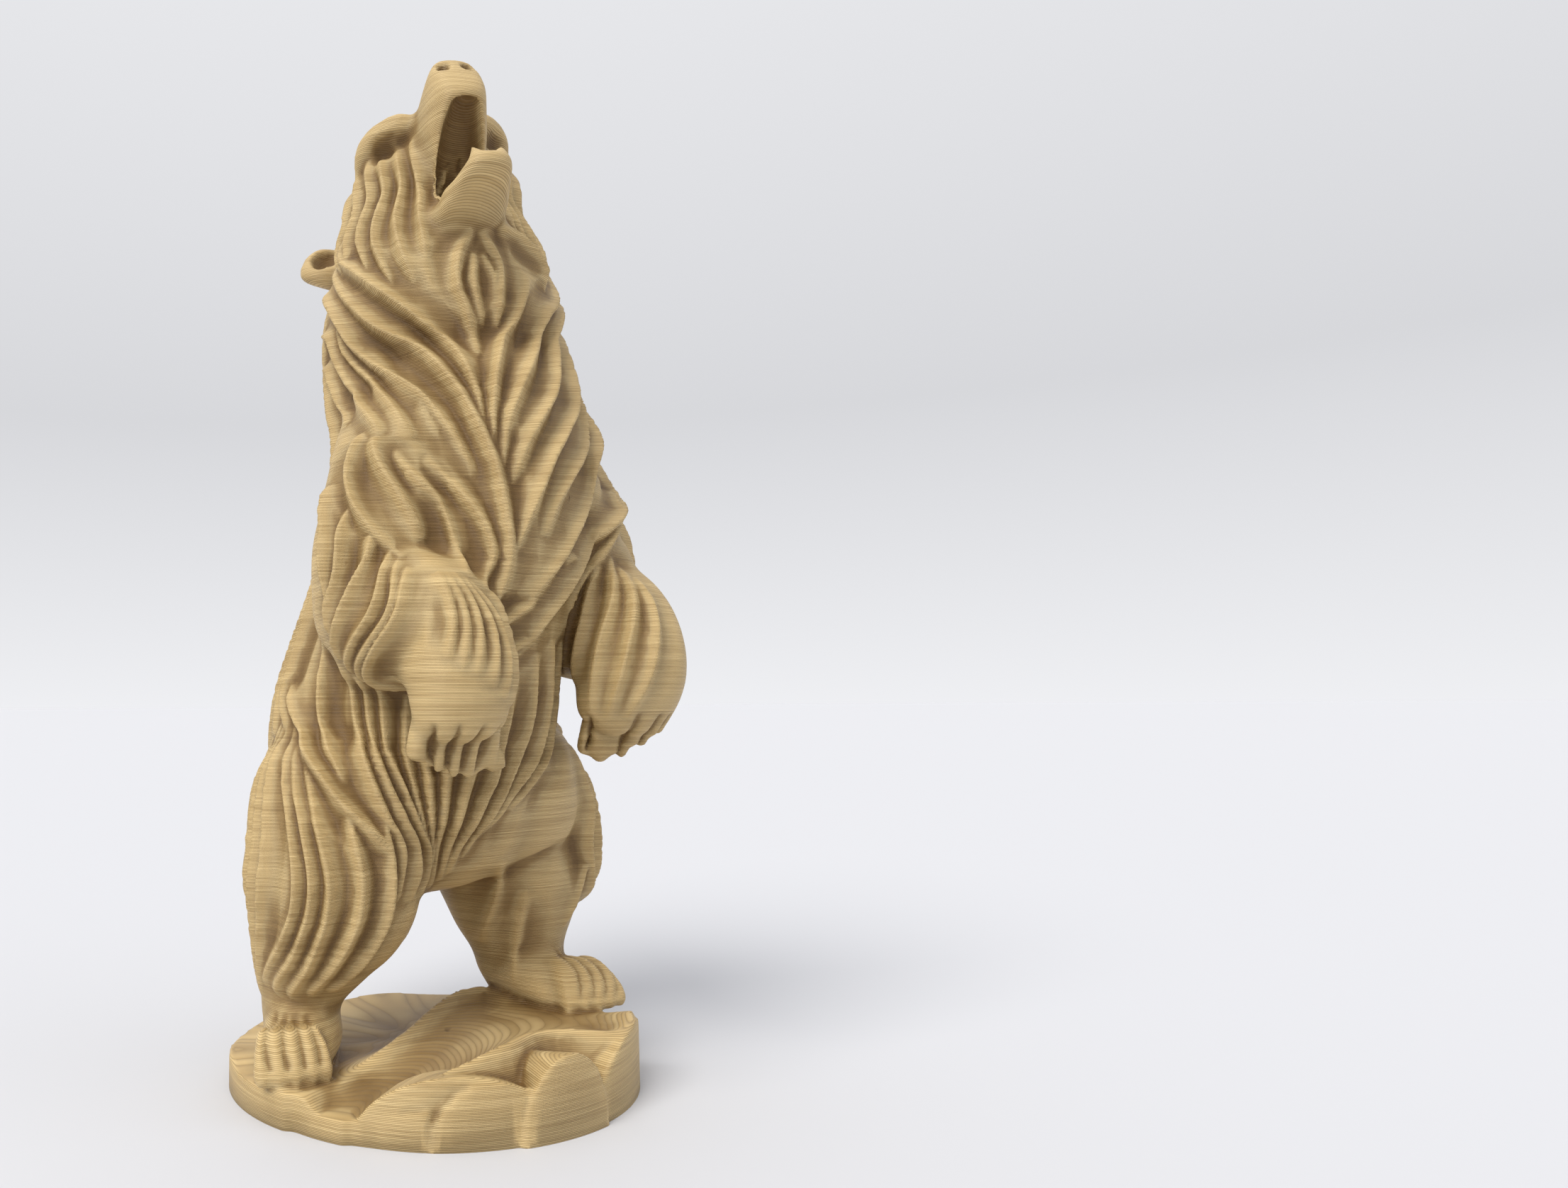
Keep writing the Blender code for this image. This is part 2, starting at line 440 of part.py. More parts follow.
# Crests, or grooves where the height is negative: region, how many, height share, half width,
# and the guide lines they are spread between, each a few places given as (angle, height)
FAMILIES = [
    ("body", 1, 1.3, 1.5, [
        [(-100, 131), (-80, 124), (-61, 120), (-29, 112), (-14, 106), (-9, 97), (-5, 91)],
    ]),
    ("body", 1, 1.6, 1.6, [
        [(-105, 126), (-70, 117), (-51, 112), (-37, 109), (-25, 105), (-13, 97), (-5, 89), (0, 81),
         (3, 75), (0, 68)],
    ]),
    ("body", 1, 1.5, 1.6, [
        [(-125, 124), (-85, 117), (-60, 108), (-47, 104), (-26, 97), (-12, 88)],
    ]),
    ("body", 1, 1.1, 1.5, [
        [(-120, 116), (-90, 113), (-76, 106), (-60, 100)],
    ]),
    ("body", 1, 1.1, 1.5, [
        [(-125, 111), (-99, 109), (-85, 102), (-70, 98)],
    ]),
    ("body", 3, 1.0, 1.3, [
        [(-84, 119), (-66, 111), (-50, 106), (-36, 100), (-25, 93)],
        [(-92, 112), (-78, 106), (-64, 101), (-52, 97), (-46, 94)],
    ]),
    ("body", 1, 1.3, 1.5, [
        [(108, 139), (109, 135), (98, 130), (78, 123), (57, 118), (42, 115), (29, 110), (14, 104),
         (3, 98), (-1, 92), (-2, 86)],
    ]),
    ("body", 1, 1.5, 1.7, [
        [(118, 138), (122, 133), (112, 129), (91, 123), (69, 118), (50, 113), (38, 108), (27, 102),
         (16, 97), (7, 92), (1, 86)],
    ]),
    ("body", 1, 1.6, 1.7, [
        [(127, 132), (122, 127), (107, 123), (84, 116), (66, 111), (55, 106), (45, 101), (33, 97),
         (21, 92), (12, 86), (6, 80), (4, 76)],
    ]),
    ("body", 1, 1.6, 1.7, [
        [(135, 132), (138, 126), (120, 121), (94, 114), (76, 107), (66, 102), (57, 98), (46, 94),
         (33, 90), (22, 85), (17, 80)],
    ]),
    ("body", 1, 1.6, 1.7, [
        [(148, 128), (140, 123), (130, 118), (113, 113), (95, 108), (85, 104), (77, 99), (64, 94),
         (55, 89), (38, 83), (24, 76), (12, 69)],
    ]),
    ("body", 1, 1.6, 1.7, [
        [(160, 127), (155, 122), (148, 116), (133, 111), (114, 105), (98, 99), (91, 94), (84, 89),
         (69, 85), (52, 80), (36, 74), (24, 68), (14, 61)],
    ]),
    ("body", 1, 1.2, 1.5, [
        [(104, 96), (91, 92), (80, 89), (68, 84), (57, 77), (49, 70)],
    ]),
    ("body", 1, 1.2, 1.4, [
        [(31, 120), (20, 114), (6, 108), (-3, 101), (-5, 95), (-4, 89)],
    ]),
    ("body", 6, 0.9, 1.1, [
        [(38, 141), (28, 135), (28, 130), (40, 125)],
        [(53, 141), (45, 136), (45, 130), (55, 123)],
        [(86, 141), (76, 136), (77, 130), (67, 122)],
        [(108, 139), (100, 134), (90, 129), (74, 122)],
    ]),
    ("body", 6, 0.9, 1.1, [
        [(-34, 140), (-28, 134), (-26, 128), (-25, 121)],
        [(-59, 139), (-50, 133), (-50, 125), (-36, 115)],
        [(-80, 139), (-72, 133), (-70, 126), (-55, 118)],
        [(-108, 137), (-100, 131), (-92, 126), (-76, 121)],
    ]),
    ("body", 1, 1.0, 1.2, [
        [(-1, 125), (-9, 121), (-11, 117), (-7, 113), (-4, 107)],
    ]),
    ("body", 1, 1.0, 1.2, [
        [(4, 125), (11, 121), (10, 116), (7, 110)],
    ]),
    ("body", 2, 0.7, 0.9, [
        [(-1, 122), (-3, 117), (1, 111)],
        [(3, 122), (8, 118), (6, 112)],
    ]),
    ("body", 1, 1.0, 1.3, [
        [(15, 126), (30, 126), (47, 124), (58, 120)],
    ]),
    ("right shoulder", 1, 1.3, 1.4, [
        [(-48, 95), (-52, 89), (-40, 83), (-13, 76)],
    ]),
    ("right shoulder", 1, 1.3, 1.4, [
        [(-34, 94), (-28, 90), (-14, 85), (2, 79)],
    ]),
    ("right shoulder", 1, 1.0, 1.3, [
        [(-20, 92), (-4, 88), (14, 84), (22, 78), (14, 73)],
    ]),
    ("right shoulder", 1, 1.0, 1.3, [
        [(5, 91), (24, 86), (35, 80), (36, 75), (18, 70)],
    ]),
    ("right arm", 6, 1.2, 1.3, [
        [(-120, 88), (-105, 80), (-106, 70)],
        [(-72, 82), (-83, 73), (-104, 63)],
        [(-40, 77), (-40, 68), (-112, 60)],
        [(-22, 75), (-36, 66), (-120, 58)],
    ]),
    ("right arm", 5, 0.8, 1.2, [
        [(3, 74), (6, 68), (2, 62)],
        [(14, 74), (20, 68), (16, 60)],
        [(26, 73), (36, 66), (34, 57)],
    ]),
    ("right arm", 4, 0.9, 1.2, [
        [(52, 72), (52, 66), (48, 56)],
        [(95, 72), (88, 66), (80, 56)],
    ]),
    ("left arm", 5, 0.9, 1.3, [
        [(-15, 82), (-36, 76), (-43, 69), (-60, 62)],
        [(1, 80), (-7, 73), (-18, 65), (-25, 54)],
        [(14, 76), (14, 70), (10, 63), (2, 54)],
    ]),
    ("left arm", 6, 1.4, 1.4, [
        [(84, 97), (90, 85), (98, 77), (112, 71), (165, 63)],
        [(110, 100), (119, 87), (124, 79), (140, 71), (200, 64)],
        [(134, 102), (141, 88), (143, 80), (155, 73), (205, 64)],
        [(176, 104), (190, 90), (190, 82), (196, 74), (206, 66)],
    ]),
    ("left arm", 2, 1.0, 1.2, [
        [(75, 76), (79, 70), (94, 62)],
        [(85, 73), (90, 67), (112, 62)],
    ]),
    ("belly", 1, 1.6, 1.5, [
        [(-93, 61), (-76, 56), (-58, 51), (-46, 47), (-38, 43), (-30, 39), (-25, 35), (-25, 28)],
    ]),
    ("belly", 1, 1.2, 1.4, [
        [(-66, 66), (-62, 60), (-55, 54), (-43, 49), (-35, 43)],
    ]),
    ("belly", 3, 1.4, 1.4, [
        [(-46, 62), (-41, 56), (-33, 49), (-26, 41), (-22, 36), (-23, 28)],
        [(-33, 60), (-29, 55), (-24, 48), (-16, 39), (-13, 35), (-17, 28)],
    ]),
    ("belly", 3, 1.2, 1.2, [
        [(-22, 58), (-19, 50), (-16, 43), (-13, 36), (-14, 29)],
        [(-2, 58), (-4, 48), (-6, 41), (-9, 35), (-11, 29)],
    ]),
    ("belly", 5, 1.3, 1.4, [
        [(8, 60), (6, 49), (1, 42), (-3, 36), (-6, 30)],
        [(19, 60), (17, 49), (9, 42), (2, 36), (-2, 31)],
        [(27, 64), (30, 55), (24, 48), (13, 40), (4, 33)],
        [(37, 66), (44, 57), (38, 49), (22, 43), (8, 35)],
        [(50, 66), (56, 58), (51, 50), (36, 45), (18, 40)],
    ]),
    ("body", 3, 1.5, 1.6, [
        [(150, 84), (143, 77), (127, 67), (115, 61), (98, 55), (85, 52)],
        [(172, 92), (168, 80), (149, 69), (132, 62), (114, 56), (97, 53), (85, 51)],
        [(177, 84), (174, 76), (160, 66), (140, 58), (123, 55), (105, 53), (92, 51)],
    ]),
    ("body", 2, 1.3, 1.6, [
        [(178, 76), (169, 69), (159, 61), (150, 54), (130, 49), (120, 43)],
        [(184, 72), (176, 64), (170, 56), (163, 49), (155, 42)],
    ]),
    ("body", 2, 1.2, 1.5, [
        [(176, 98), (172, 91), (160, 85), (146, 79), (128, 72), (115, 67)],
        [(150, 102), (145, 94), (141, 86), (138, 80), (131, 73)],
    ]),
    ("left leg", 7, 1.3, 1.5, [
        [(46, 47), (45, 40), (47, 34), (60, 28), (93, 22)],
        [(54, 47), (63, 42), (68, 34), (78, 28), (108, 20)],
        [(87, 50), (86, 41), (89, 33), (98, 27), (116, 20)],
        [(112, 50), (104, 42), (105, 34), (115, 27), (126, 18)],
        [(150, 52), (128, 43), (124, 36), (121, 28), (134, 18)],
        [(190, 55), (172, 49), (152, 43), (140, 34), (145, 22)],
        [(213, 55), (200, 48), (178, 42), (158, 34), (160, 22)],
    ]),
    ("left leg", 1, 0.9, 1.5, [
        [(28, 50), (38, 45), (46, 39), (50, 33), (48, 26), (42, 20)],
    ]),
    ("left leg", 2, 0.5, 1.4, [
        [(-26, 33), (-38, 25), (-60, 18)],
        [(-10, 27), (-17, 20), (-22, 12)],
    ]),
    ("right leg", 5, 1.2, 1.5, [
        [(-60, 54), (-36, 45), (-27, 37), (-25, 31), (-30, 26), (-46, 21), (-85, 15)],
        [(-30, 50), (-18, 43), (-12, 37), (-9, 31), (-12, 25), (-23, 19), (-46, 14)],
        [(4, 46), (12, 41), (15, 36), (17, 31), (16, 25), (8, 19), (-4, 15)],
    ]),
    ("right leg", 3, 1.2, 1.5, [
        [(-75, 54), (-58, 44), (-52, 34), (-64, 24), (-97, 13)],
        [(-95, 54), (-92, 44), (-88, 35), (-96, 25), (-112, 13)],
    ]),
    ("right leg", 4, 1.1, 1.5, [
        [(-112, 52), (-106, 38), (-110, 27), (-122, 13)],
        [(-160, 52), (-158, 38), (-160, 27), (-165, 12)],
    ]),
    ("body", 6, 1.5, 1.8, [
        [(186, 126), (192, 110), (192, 92), (190, 74), (184, 60), (176, 46)],
        [(214, 124), (218, 108), (224, 92), (220, 75), (214, 58), (206, 42)],
        [(246, 122), (250, 107), (262, 92), (256, 76), (250, 60), (246, 44)],
    ]),
    ("body", 3, 1.3, 1.5, [
        [(-106, 104), (-100, 92), (-108, 78), (-112, 64), (-104, 50)],
        [(-90, 96), (-92, 84), (-98, 72), (-92, 60), (-78, 52)],
    ]),
    ("right foot", 4, -0.3, 0.5, [
        [(-25, 12), (-20, 9), (-17, 7)],
        [(6, 12), (5, 9), (4, 7)],
    ]),
    ("left foot", 4, -0.3, 0.5, [
        [(15, 17), (9, 14), (4, 11)],
        [(45, 17), (34, 14), (25, 11)],
    ]),
    ("right hand", 4, -0.5, 0.5, [
        [(-16, 54), (-18, 46)],
        [(18, 54), (20, 46)],
    ]),
    ("left hand", 4, -0.5, 0.5, [
        [(26, 55), (27, 46)],
        [(16, 55), (18, 45)],
        [(1, 55), (2, 45)],
        [(-27, 55), (-32, 46)],
    ]),
]


def between(guides, share):
    """The line at a share of the way from the first guide to the last."""
    lines = [curve_through(guide, 25) for guide in guides]
    if len(lines) == 1:
        return lines[0]
    place = share * (len(lines) - 1)
    low = min(int(place), len(lines) - 2)
    return lines[low] + (lines[low + 1] - lines[low]) * (place - low)


def first_outer_face(tree, start, heading):
    """Where a line first enters the surface from outside, also if it starts inside a limb."""
    origin, heading = Vector(start), Vector(heading)
    for _ in range(8):
        spot, normal, _, _ = tree.ray_cast(origin, heading)
        if spot is None:
            return None
        if normal.dot(heading) < 0:
            return spot, normal
        origin = spot + heading * 0.01
    return None


def crest_line(tree, region, places):
    """Lay a line of (angle, height) places on the surface; return its points and normals."""
    axis, reach = REGIONS[region]
    spots, normals = [], []
    for angle, height in curve_through(places, CREST_SAMPLES):
        x, y = axis(height)
        out = np.array([math.sin(math.radians(angle)), -math.cos(math.radians(angle)), 0])
        start = np.array([x, y, height]) + out * reach(angle, height)
        hit = first_outer_face(tree, start, -out)
        if hit:
            spots.append(hit[0])
            normals.append(hit[1])
    return np.array(spots), np.array(normals)


def raise_crest(points, facing, spots, normals, height, width, lift):
    """Raise a thin crest with a hollow on each side, or cut a groove, fading out at both ends."""
    reach = width * 5
    near = np.all((points > spots.min(0) - reach) & (points < spots.max(0) + reach), axis=1)
    tangent = np.gradient(spots, axis=0)
    tangent /= np.linalg.norm(tangent, axis=1)[:, None] + 1e-9
    chosen = np.nonzero(near)[0]
    for part in np.array_split(chosen, len(chosen) // 20000 + 1):
        gap = points[part][:, None, :] - spots[None]
        square = (gap**2).sum(2)
        best = square.argmin(1)
        rest = gap[np.arange(len(part)), best]
        for direction in (normals[best], tangent[best]):
            rest = rest - direction * (rest * direction).sum(1)[:, None]
        across = np.sqrt((rest**2).sum(1) + ROUNDING**2) - ROUNDING
        same_side = (facing[part] * normals[best]).sum(1) > 0.1
        inside = same_side & (square[np.arange(len(part)), best] < reach**2)
        share = np.clip(best / (len(spots) - 1), 0.001, 0.999)
        fade = np.sin(np.pi * share) ** FADE_POWER * inside * height
        line = fade * np.exp(-across / width)
        if height > 0:
            lift["crest"][part] = np.maximum(lift["crest"][part], line)
            soft = fade * np.sin(np.pi * share) ** FADE_POWER
            wide = soft * np.exp(-((across / (HOLLOW_REACH * width)) ** 4))
            lift["hollow"][part] = np.maximum(lift["hollow"][part], wide)
        else:
            lift["groove"][part] = np.minimum(lift["groove"][part], line)


def carve(body):
    """Move the body's vertices along their normals to cut the fur's crests and hollows."""
    count = len(body.data.vertices)
    points, facing = np.empty((2, count * 3), np.float32)
    body.data.vertices.foreach_get("co", points)
    body.data.vertices.foreach_get("normal", facing)
    points = points.reshape(-1, 3).astype(float)
    facing = facing.reshape(-1, 3).astype(float)
    form = bmesh.new()
    form.from_mesh(body.data)
    tree = BVHTree.FromBMesh(form)
    form.free()
    lift = {name: np.zeros(count) for name in ("crest", "hollow", "groove")}
    for region, number, height, width, guides in FAMILIES:
        for step in range(number):
            line = between(guides, step / max(1, number - 1))
            spots, normals = crest_line(tree, region, line)
            raise_crest(points, facing, spots, normals, height, width, lift)
    total = lift["crest"] - HOLLOW_SHARE * lift["hollow"] + lift["groove"]
    points += facing * (total * RELIEF)[:, None]
    body.data.vertices.foreach_set("co", points.astype(np.float32).ravel())
    body.data.update()


# Assembly
def stepped(stations):
    """Lower or raise the bottom of a leg or foot as far as the ledge under it."""
    top = max(row[2] for row in stations)
    low = min(row[2] for row in stations)
    return [(x, y, z + STEP * (top - z) / (top - low), *size) for x, y, z, *size in stations]


def body_masses():
    """The torso, head, arms, legs and feet."""
    limbs = [RIGHT_UPPER_ARM, RIGHT_FOREARM, LEFT_UPPER_ARM, LEFT_FOREARM, RIGHT_LEG, RIGHT_FOOT]
    masses = [swept_ball(TORSO, cap=0.1)]
    masses += [swept_ball(limb) for limb in limbs]
    left_foot = [(x, y, z + STEP, *size) for x, y, z, *size in LEFT_FOOT]
    masses += [swept_ball(stepped(LEFT_LEG)), swept_ball(left_foot)]
    masses += [head_ball(SKULL), head_ball(MUZZLE, squareness=0.7, cap=0.06)]
    return masses + [head_ball(JAW, squareness=0.8)]


def small_parts():
    """Fingers, toes, ears, canines and the prong in the jaw."""
    parts = fingers(RIGHT_KNUCKLES, RIGHT_FINGERS, (0.75, 0.3, 0.2))
    parts += fingers(LEFT_KNUCKLES, LEFT_FINGERS, (0.75, 0.6, 0.2))
    parts += toes((-23.4, -5, 10.2), (-28.7, -13.4), (-20.0, -14.2), 1.2, 4.7, 0)
    parts += toes((22.4, 2, 15.2 + STEP), (20.0, -6.6), (28.4, -6.4), 1.2, 8.6 + STEP, 0.6)
    parts += both_sides(EAR, cap=0.25) + both_sides(BROW, cap=0.3) + both_sides(CANINE, cap=0.3)
    return parts + [head_ball(TONGUE, cap=0.3)]


def hollows():
    """Cutters for the mouth, the ears' cups, the eye sockets and the nostrils."""
    cutters = [head_ball(MOUTH, squareness=0.75)]
    for stations in (EAR_CUP, EYE, NOSTRIL):
        cutters += both_sides(stations, cap=0.35)
    return cutters


def cut_away(body, cutter):
    """Cut the cutter's shapes out of the body."""
    cut = body.modifiers.new("Cut", "BOOLEAN")
    cut.operation = "DIFFERENCE"
    cut.solver = "EXACT"
    cut.object = cutter
    apply_modifiers(body)


def lower_detail(body):
    """Reduce the surface to the triangle budget, cut the underside flat and close it."""
    reduce = body.modifiers.new("Reduce", "DECIMATE")
    reduce.ratio = min(1.0, TRIANGLE_BUDGET / (2 * len(body.data.polygons)))
    reduce.use_collapse_triangulate = True
    apply_modifiers(body)
    form = bmesh.new()
    form.from_mesh(body.data)
    everything = form.verts[:] + form.edges[:] + form.faces[:]
    cut = bmesh.ops.bisect_plane(
        form, geom=everything, plane_co=(0, 0, -LIFT), plane_no=(0, 0, -1), clear_outer=True)
    rim = [item for item in cut["geom_cut"] if isinstance(item, bmesh.types.BMEdge)]
    bmesh.ops.holes_fill(form, edges=rim, sides=0)
    bmesh.ops.triangulate(form, faces=form.faces[:])
    bmesh.ops.recalc_face_normals(form, faces=form.faces[:])
    form.to_mesh(body.data)
    form.free()


def plastic(name, colour, roughness, metallic):
    """A plain material with the given look."""
    made = bpy.data.materials.new(name)
    made.use_nodes = True
    shader = made.node_tree.nodes["Principled BSDF"]
    shader.inputs["Base Color"].default_value = (*colour, 1)
    shader.inputs["Roughness"].default_value = roughness
    shader.inputs["Metallic"].default_value = metallic
    made.diffuse_color = (*colour, 1)
    return made


def main():
    for thing in list(bpy.data.objects):
        bpy.data.objects.remove(thing)
    whole = bpy.data.collections.new("carved_wooden_bear")
    tools = bpy.data.collections.new("cutters")
    tools.hide_render = True
    for collection in (whole, tools):
        bpy.context.scene.collection.children.link(collection)
    voxel = VOXEL_SIZE / UNIT
    body = mesh_object(body_masses(), "bear_statue")
    whole.objects.link(body)
    blend(body, voxel, 8)
    add_shapes(body, small_parts())
    blend(body, voxel * 0.8, 1)
    cutter = mesh_object(hollows(), "hollows")
    cutter.display_type = "WIRE"
    cutter.hide_render = True
    tools.objects.link(cutter)
    cut_away(body, cutter)
    bpy.data.objects.remove(cutter)
    add_shapes(body, [rock_plate()] + [rock_dome(*dome) for dome in DOMES])
    blend(body, voxel * FINE_SHARE, 2)
    carve(body)
    lower_detail(body)
    body.data.transform(Matrix.Diagonal((UNIT, UNIT, UNIT, 1)) @ Matrix.Translation((0, 0, LIFT)))
    body.data.materials.append(plastic("wood_brown_plastic", (0.50, 0.35, 0.17), 0.6, 0.0))
    for face in body.data.polygons:
        face.use_smooth = True


main()
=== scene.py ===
"""The standing bear statue: its finished surface, material, floor, lights and camera.

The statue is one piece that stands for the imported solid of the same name. It is drawn by the same
stations and crests as the solid, on a finer surface. Lengths are in drawing units that are
millimetres at the default height, angles are in degrees round an upright axis, 0 in front and 90 on
the bear's left.
"""

import math

import bmesh
import bpy
import numpy as np
from mathutils import Matrix, Vector
from mathutils.bvhtree import BVHTree


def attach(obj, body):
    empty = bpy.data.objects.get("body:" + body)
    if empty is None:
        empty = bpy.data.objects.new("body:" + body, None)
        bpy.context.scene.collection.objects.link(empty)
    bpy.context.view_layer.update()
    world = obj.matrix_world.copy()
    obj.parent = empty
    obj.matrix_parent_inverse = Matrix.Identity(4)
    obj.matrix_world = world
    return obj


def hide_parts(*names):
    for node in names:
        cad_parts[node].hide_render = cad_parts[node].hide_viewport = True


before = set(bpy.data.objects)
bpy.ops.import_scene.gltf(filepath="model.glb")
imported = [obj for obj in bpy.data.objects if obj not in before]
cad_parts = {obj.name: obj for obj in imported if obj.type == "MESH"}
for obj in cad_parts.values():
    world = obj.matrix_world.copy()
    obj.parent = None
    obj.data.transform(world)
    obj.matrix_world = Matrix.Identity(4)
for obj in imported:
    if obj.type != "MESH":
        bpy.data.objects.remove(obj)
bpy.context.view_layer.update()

bl_info = {
    "name": "Standing bear statue",
    "version": (1, 0, 0),
    "blender": (4, 5, 0),
    "location": "3D View > Sidebar > Bear",
    "description": "Builds the statue's surface and its stage",
    "category": "Add Mesh",
}

# Sizes in metres, as the solid has them
FIGURE_HEIGHT = 0.1455
ROCK_RADIUS = 0.031
ROCK_EDGE_HEIGHT = 0.0045
LEDGE_HEIGHT = 0.0105
CREST_HEIGHT = 0.0023
LAYER_HEIGHT = 0.0002

# Fineness of the surface
RINGS = 40
SEGMENTS = 28
CREST_SAMPLES = 120
BLEND_VOXEL = 0.8
PARTS_VOXEL = BLEND_VOXEL * 0.8
SURFACE_VOXEL = 0.42
SOFTEN_FACTOR = 0.5
BODY_ROUNDS, PARTS_ROUNDS, SURFACE_ROUNDS, EASE_ROUNDS = 8, 1, 2, 2
TRIANGLE_BUDGET = 195000

# A crest's profile: the hollow beside it as a share of its height and how far that reaches in half
# widths, how its ends fade, how round its ridge is, and its width as a share of the solid's crest
HOLLOW_SHARE = 0.5
HOLLOW_REACH = 3.4
FADE_POWER = 0.6
ROUNDING = 0.2
CREST_SLIMNESS = 0.7
# How far from its line a crest is worked out, in half widths, how alike the line and the surface
# have to face, and how many points are worked out together
CREST_REACH = 5
FACING_LIMIT = 0.1
POINTS_AT_ONCE = 20000

# How the hollows are found where the material paints shade and the crests where it paints a
# highlight: rounds of smoothing, how far each round moves a point, the rounds after which the
# depth is taken, and the depth that counts as full
HOLLOW_ROUNDS = 28
HOLLOW_SPREAD = 0.6
HOLLOW_SCALES = (6, 28)
HOLLOW_DEPTH = 1.3

# Drawing units: the figure's drawn height, and the drawn sizes of the rock it stands on
DRAWN_HEIGHT = 145.5
DRAWN_EDGE = 4.5
DRAWN_LEDGE = 10.5
DRAWN_RADIUS = 31
UNIT = FIGURE_HEIGHT / DRAWN_HEIGHT
EDGE = ROCK_EDGE_HEIGHT / UNIT
LEDGE = LEDGE_HEIGHT / UNIT
RADIUS = ROCK_RADIUS / UNIT
RELIEF = CREST_HEIGHT / UNIT
LIFT = EDGE - DRAWN_EDGE
STEP = (LEDGE - EDGE) - (DRAWN_LEDGE - DRAWN_EDGE)

# Stations along each body mass: x, y, z, half width, half depth
TORSO = [
    (0, 7.0, 27.0, 9.0, 8.0),
    (-0.3, 6.3, 32.0, 20.5, 15.8),
    (-0.7, 6.6, 40, 23.3, 21.6),
    (-1.6, 5.4, 50, 22.4, 22.7),
    (-0.5, 2.6, 60, 20.8, 22.2),
    (1.0, -0.9, 70, 19.3, 21.4),
    (3.0, -4.0, 80, 19.3, 21.8),
    (3.5, -4.9, 90, 19.2, 21.0),
    (3.2, -4.6, 100, 18.6, 19.9),
    (1.8, -3.2, 110, 18.6, 17.6),
    (0.6, -5.0, 120, 18.0, 17.6),
    (-0.9, -6.8, 128, 15.6, 15.8),
    (-1.6, -8.2, 134, 11.8, 12.2),
    (-1.8, -8.4, 139, 6.0, 7.0),
]
RIGHT_UPPER_ARM = [
    (-4, -8, 106, 6, 7), (-7, -11, 96, 10, 11), (-9, -13, 86, 11, 11),
    (-11.5, -13, 77, 10.5, 11), (-13.5, -12, 68, 8, 9), (-14.5, -11, 62, 5, 6),
]
RIGHT_FOREARM = [
    (-17, -8, 68, 5, 8), (-13, -14, 69, 9, 10), (-8, -22, 68, 9.5, 10),
    (-5.2, -27.3, 62, 7.8, 7.6), (-5, -28.2, 56, 6.9, 5.4), (-4.7, -27.0, 51, 5.8, 3.0),
]
LEFT_UPPER_ARM = [
    (10.5, -3, 108, 7, 8), (15.5, -3, 98, 10, 12), (19, -3, 87, 10.5, 13),
    (23, -3, 77, 10.5, 12), (25, -2, 69, 8, 10), (25, 0, 63, 5, 6),
]
LEFT_FOREARM = [
    (24, 5, 69, 6, 8), (24, -2, 71, 10, 10.5), (27, -10, 68, 9.5, 10),
    (28.0, -13.5, 62, 9.0, 8.2), (27.4, -12.6, 56, 8.2, 5.2), (26.7, -10.8, 51.5, 6.8, 3.2),
]
RIGHT_LEG = [
    (-11, 6, 52, 12, 18), (-13.2, 3, 42, 13.5, 20), (-15.0, 0.5, 33, 13.0, 18.6),
    (-16.2, 0.5, 26.5, 12.4, 15.8), (-18.3, 1.6, 20.0, 9.3, 11.4), (-19.6, 2.6, 15, 7.0, 8.2),
    (-20.2, 3, 11, 5.8, 6.6), (-20.2, 3.5, 5, 5.5, 6),
]
LEFT_LEG = [
    (8, 6, 52, 13, 19.5), (13, 7.5, 43, 14.3, 18), (17.0, 9.7, 35, 14.3, 14.0),
    (17.2, 8.8, 28, 13.6, 11.0), (17.2, 8.4, 22, 10.8, 8.6), (17.6, 8.2, 16, 7.6, 7.0),
    (17.6, 8.2, 9, 6.8, 6.4),
]
RIGHT_FOOT = [
    (-19.5, 6, 7, 5.5, 5), (-20.3, 0, 8.2, 6.0, 5.6), (-22.0, -4.5, 7.4, 5.8, 4.2),
    (-23.4, -8.5, 6.4, 5.2, 2.4), (-24.1, -12.0, 5.6, 4.6, 1.4),
]
LEFT_FOOT = [
    (17, 12, 11, 5.5, 5), (18, 6, 13, 6.2, 5.6), (20.2, 1, 12.2, 6.0, 4.2),
    (22.6, -3, 10.8, 5.4, 2.4), (23.8, -5.8, 9.9, 4.7, 1.4),
]
# Fingertips: x, y, z, radius, from each hand's outer side; the knuckles they grow from, and how far
# their roots copy the tips along x, y and z
RIGHT_KNUCKLES = (-4.6, -28.5, 58)
RIGHT_FINGERS = [
    (-10.3, -24.8, 48.8, 1.8), (-7.4, -24.5, 47.1, 1.45), (-4.8, -24.0, 46.4, 1.45),
    (-2.1, -23.6, 46.2, 1.45), (0.8, -23.2, 47.3, 1.35),
]
RIGHT_FOLLOW = (0.75, 0.3, 0.2)
LEFT_KNUCKLES = (27.4, -13, 57)
LEFT_FINGERS = [
    (32.6, -12.5, 51.2, 1.6), (30.4, -11, 49.4, 1.6), (27.9, -9.2, 47.8, 1.6),
    (25.3, -7.6, 47.2, 1.6), (22.9, -7.2, 48.4, 1.6),
]
LEFT_FOLLOW = (0.75, 0.6, 0.2)
# Rows of toes: instep, first tip, last tip, how far the middle ones reach on, tip height, its rise
RIGHT_TOES = ((-23.4, -5, 10.2), (-28.7, -13.4), (-20.0, -14.2), 1.2, 4.7, 0)
LEFT_TOES = ((22.4, 2, 15.2 + STEP), (20.0, -6.6), (28.4, -6.4), 1.2, 8.6 + STEP, 0.6)
TOES = 5
TOE_RADIUS = 1.4
# A toe's arch from the instep to its tip: shares of its spread, its reach and its drop
TOE_ARCH = [(0.6, 0.0, 0.0), (0.78, 0.35, 0.08), (0.92, 0.7, 0.3), (1.0, 0.93, 0.68), (1.0, 1.0, 1.0)]

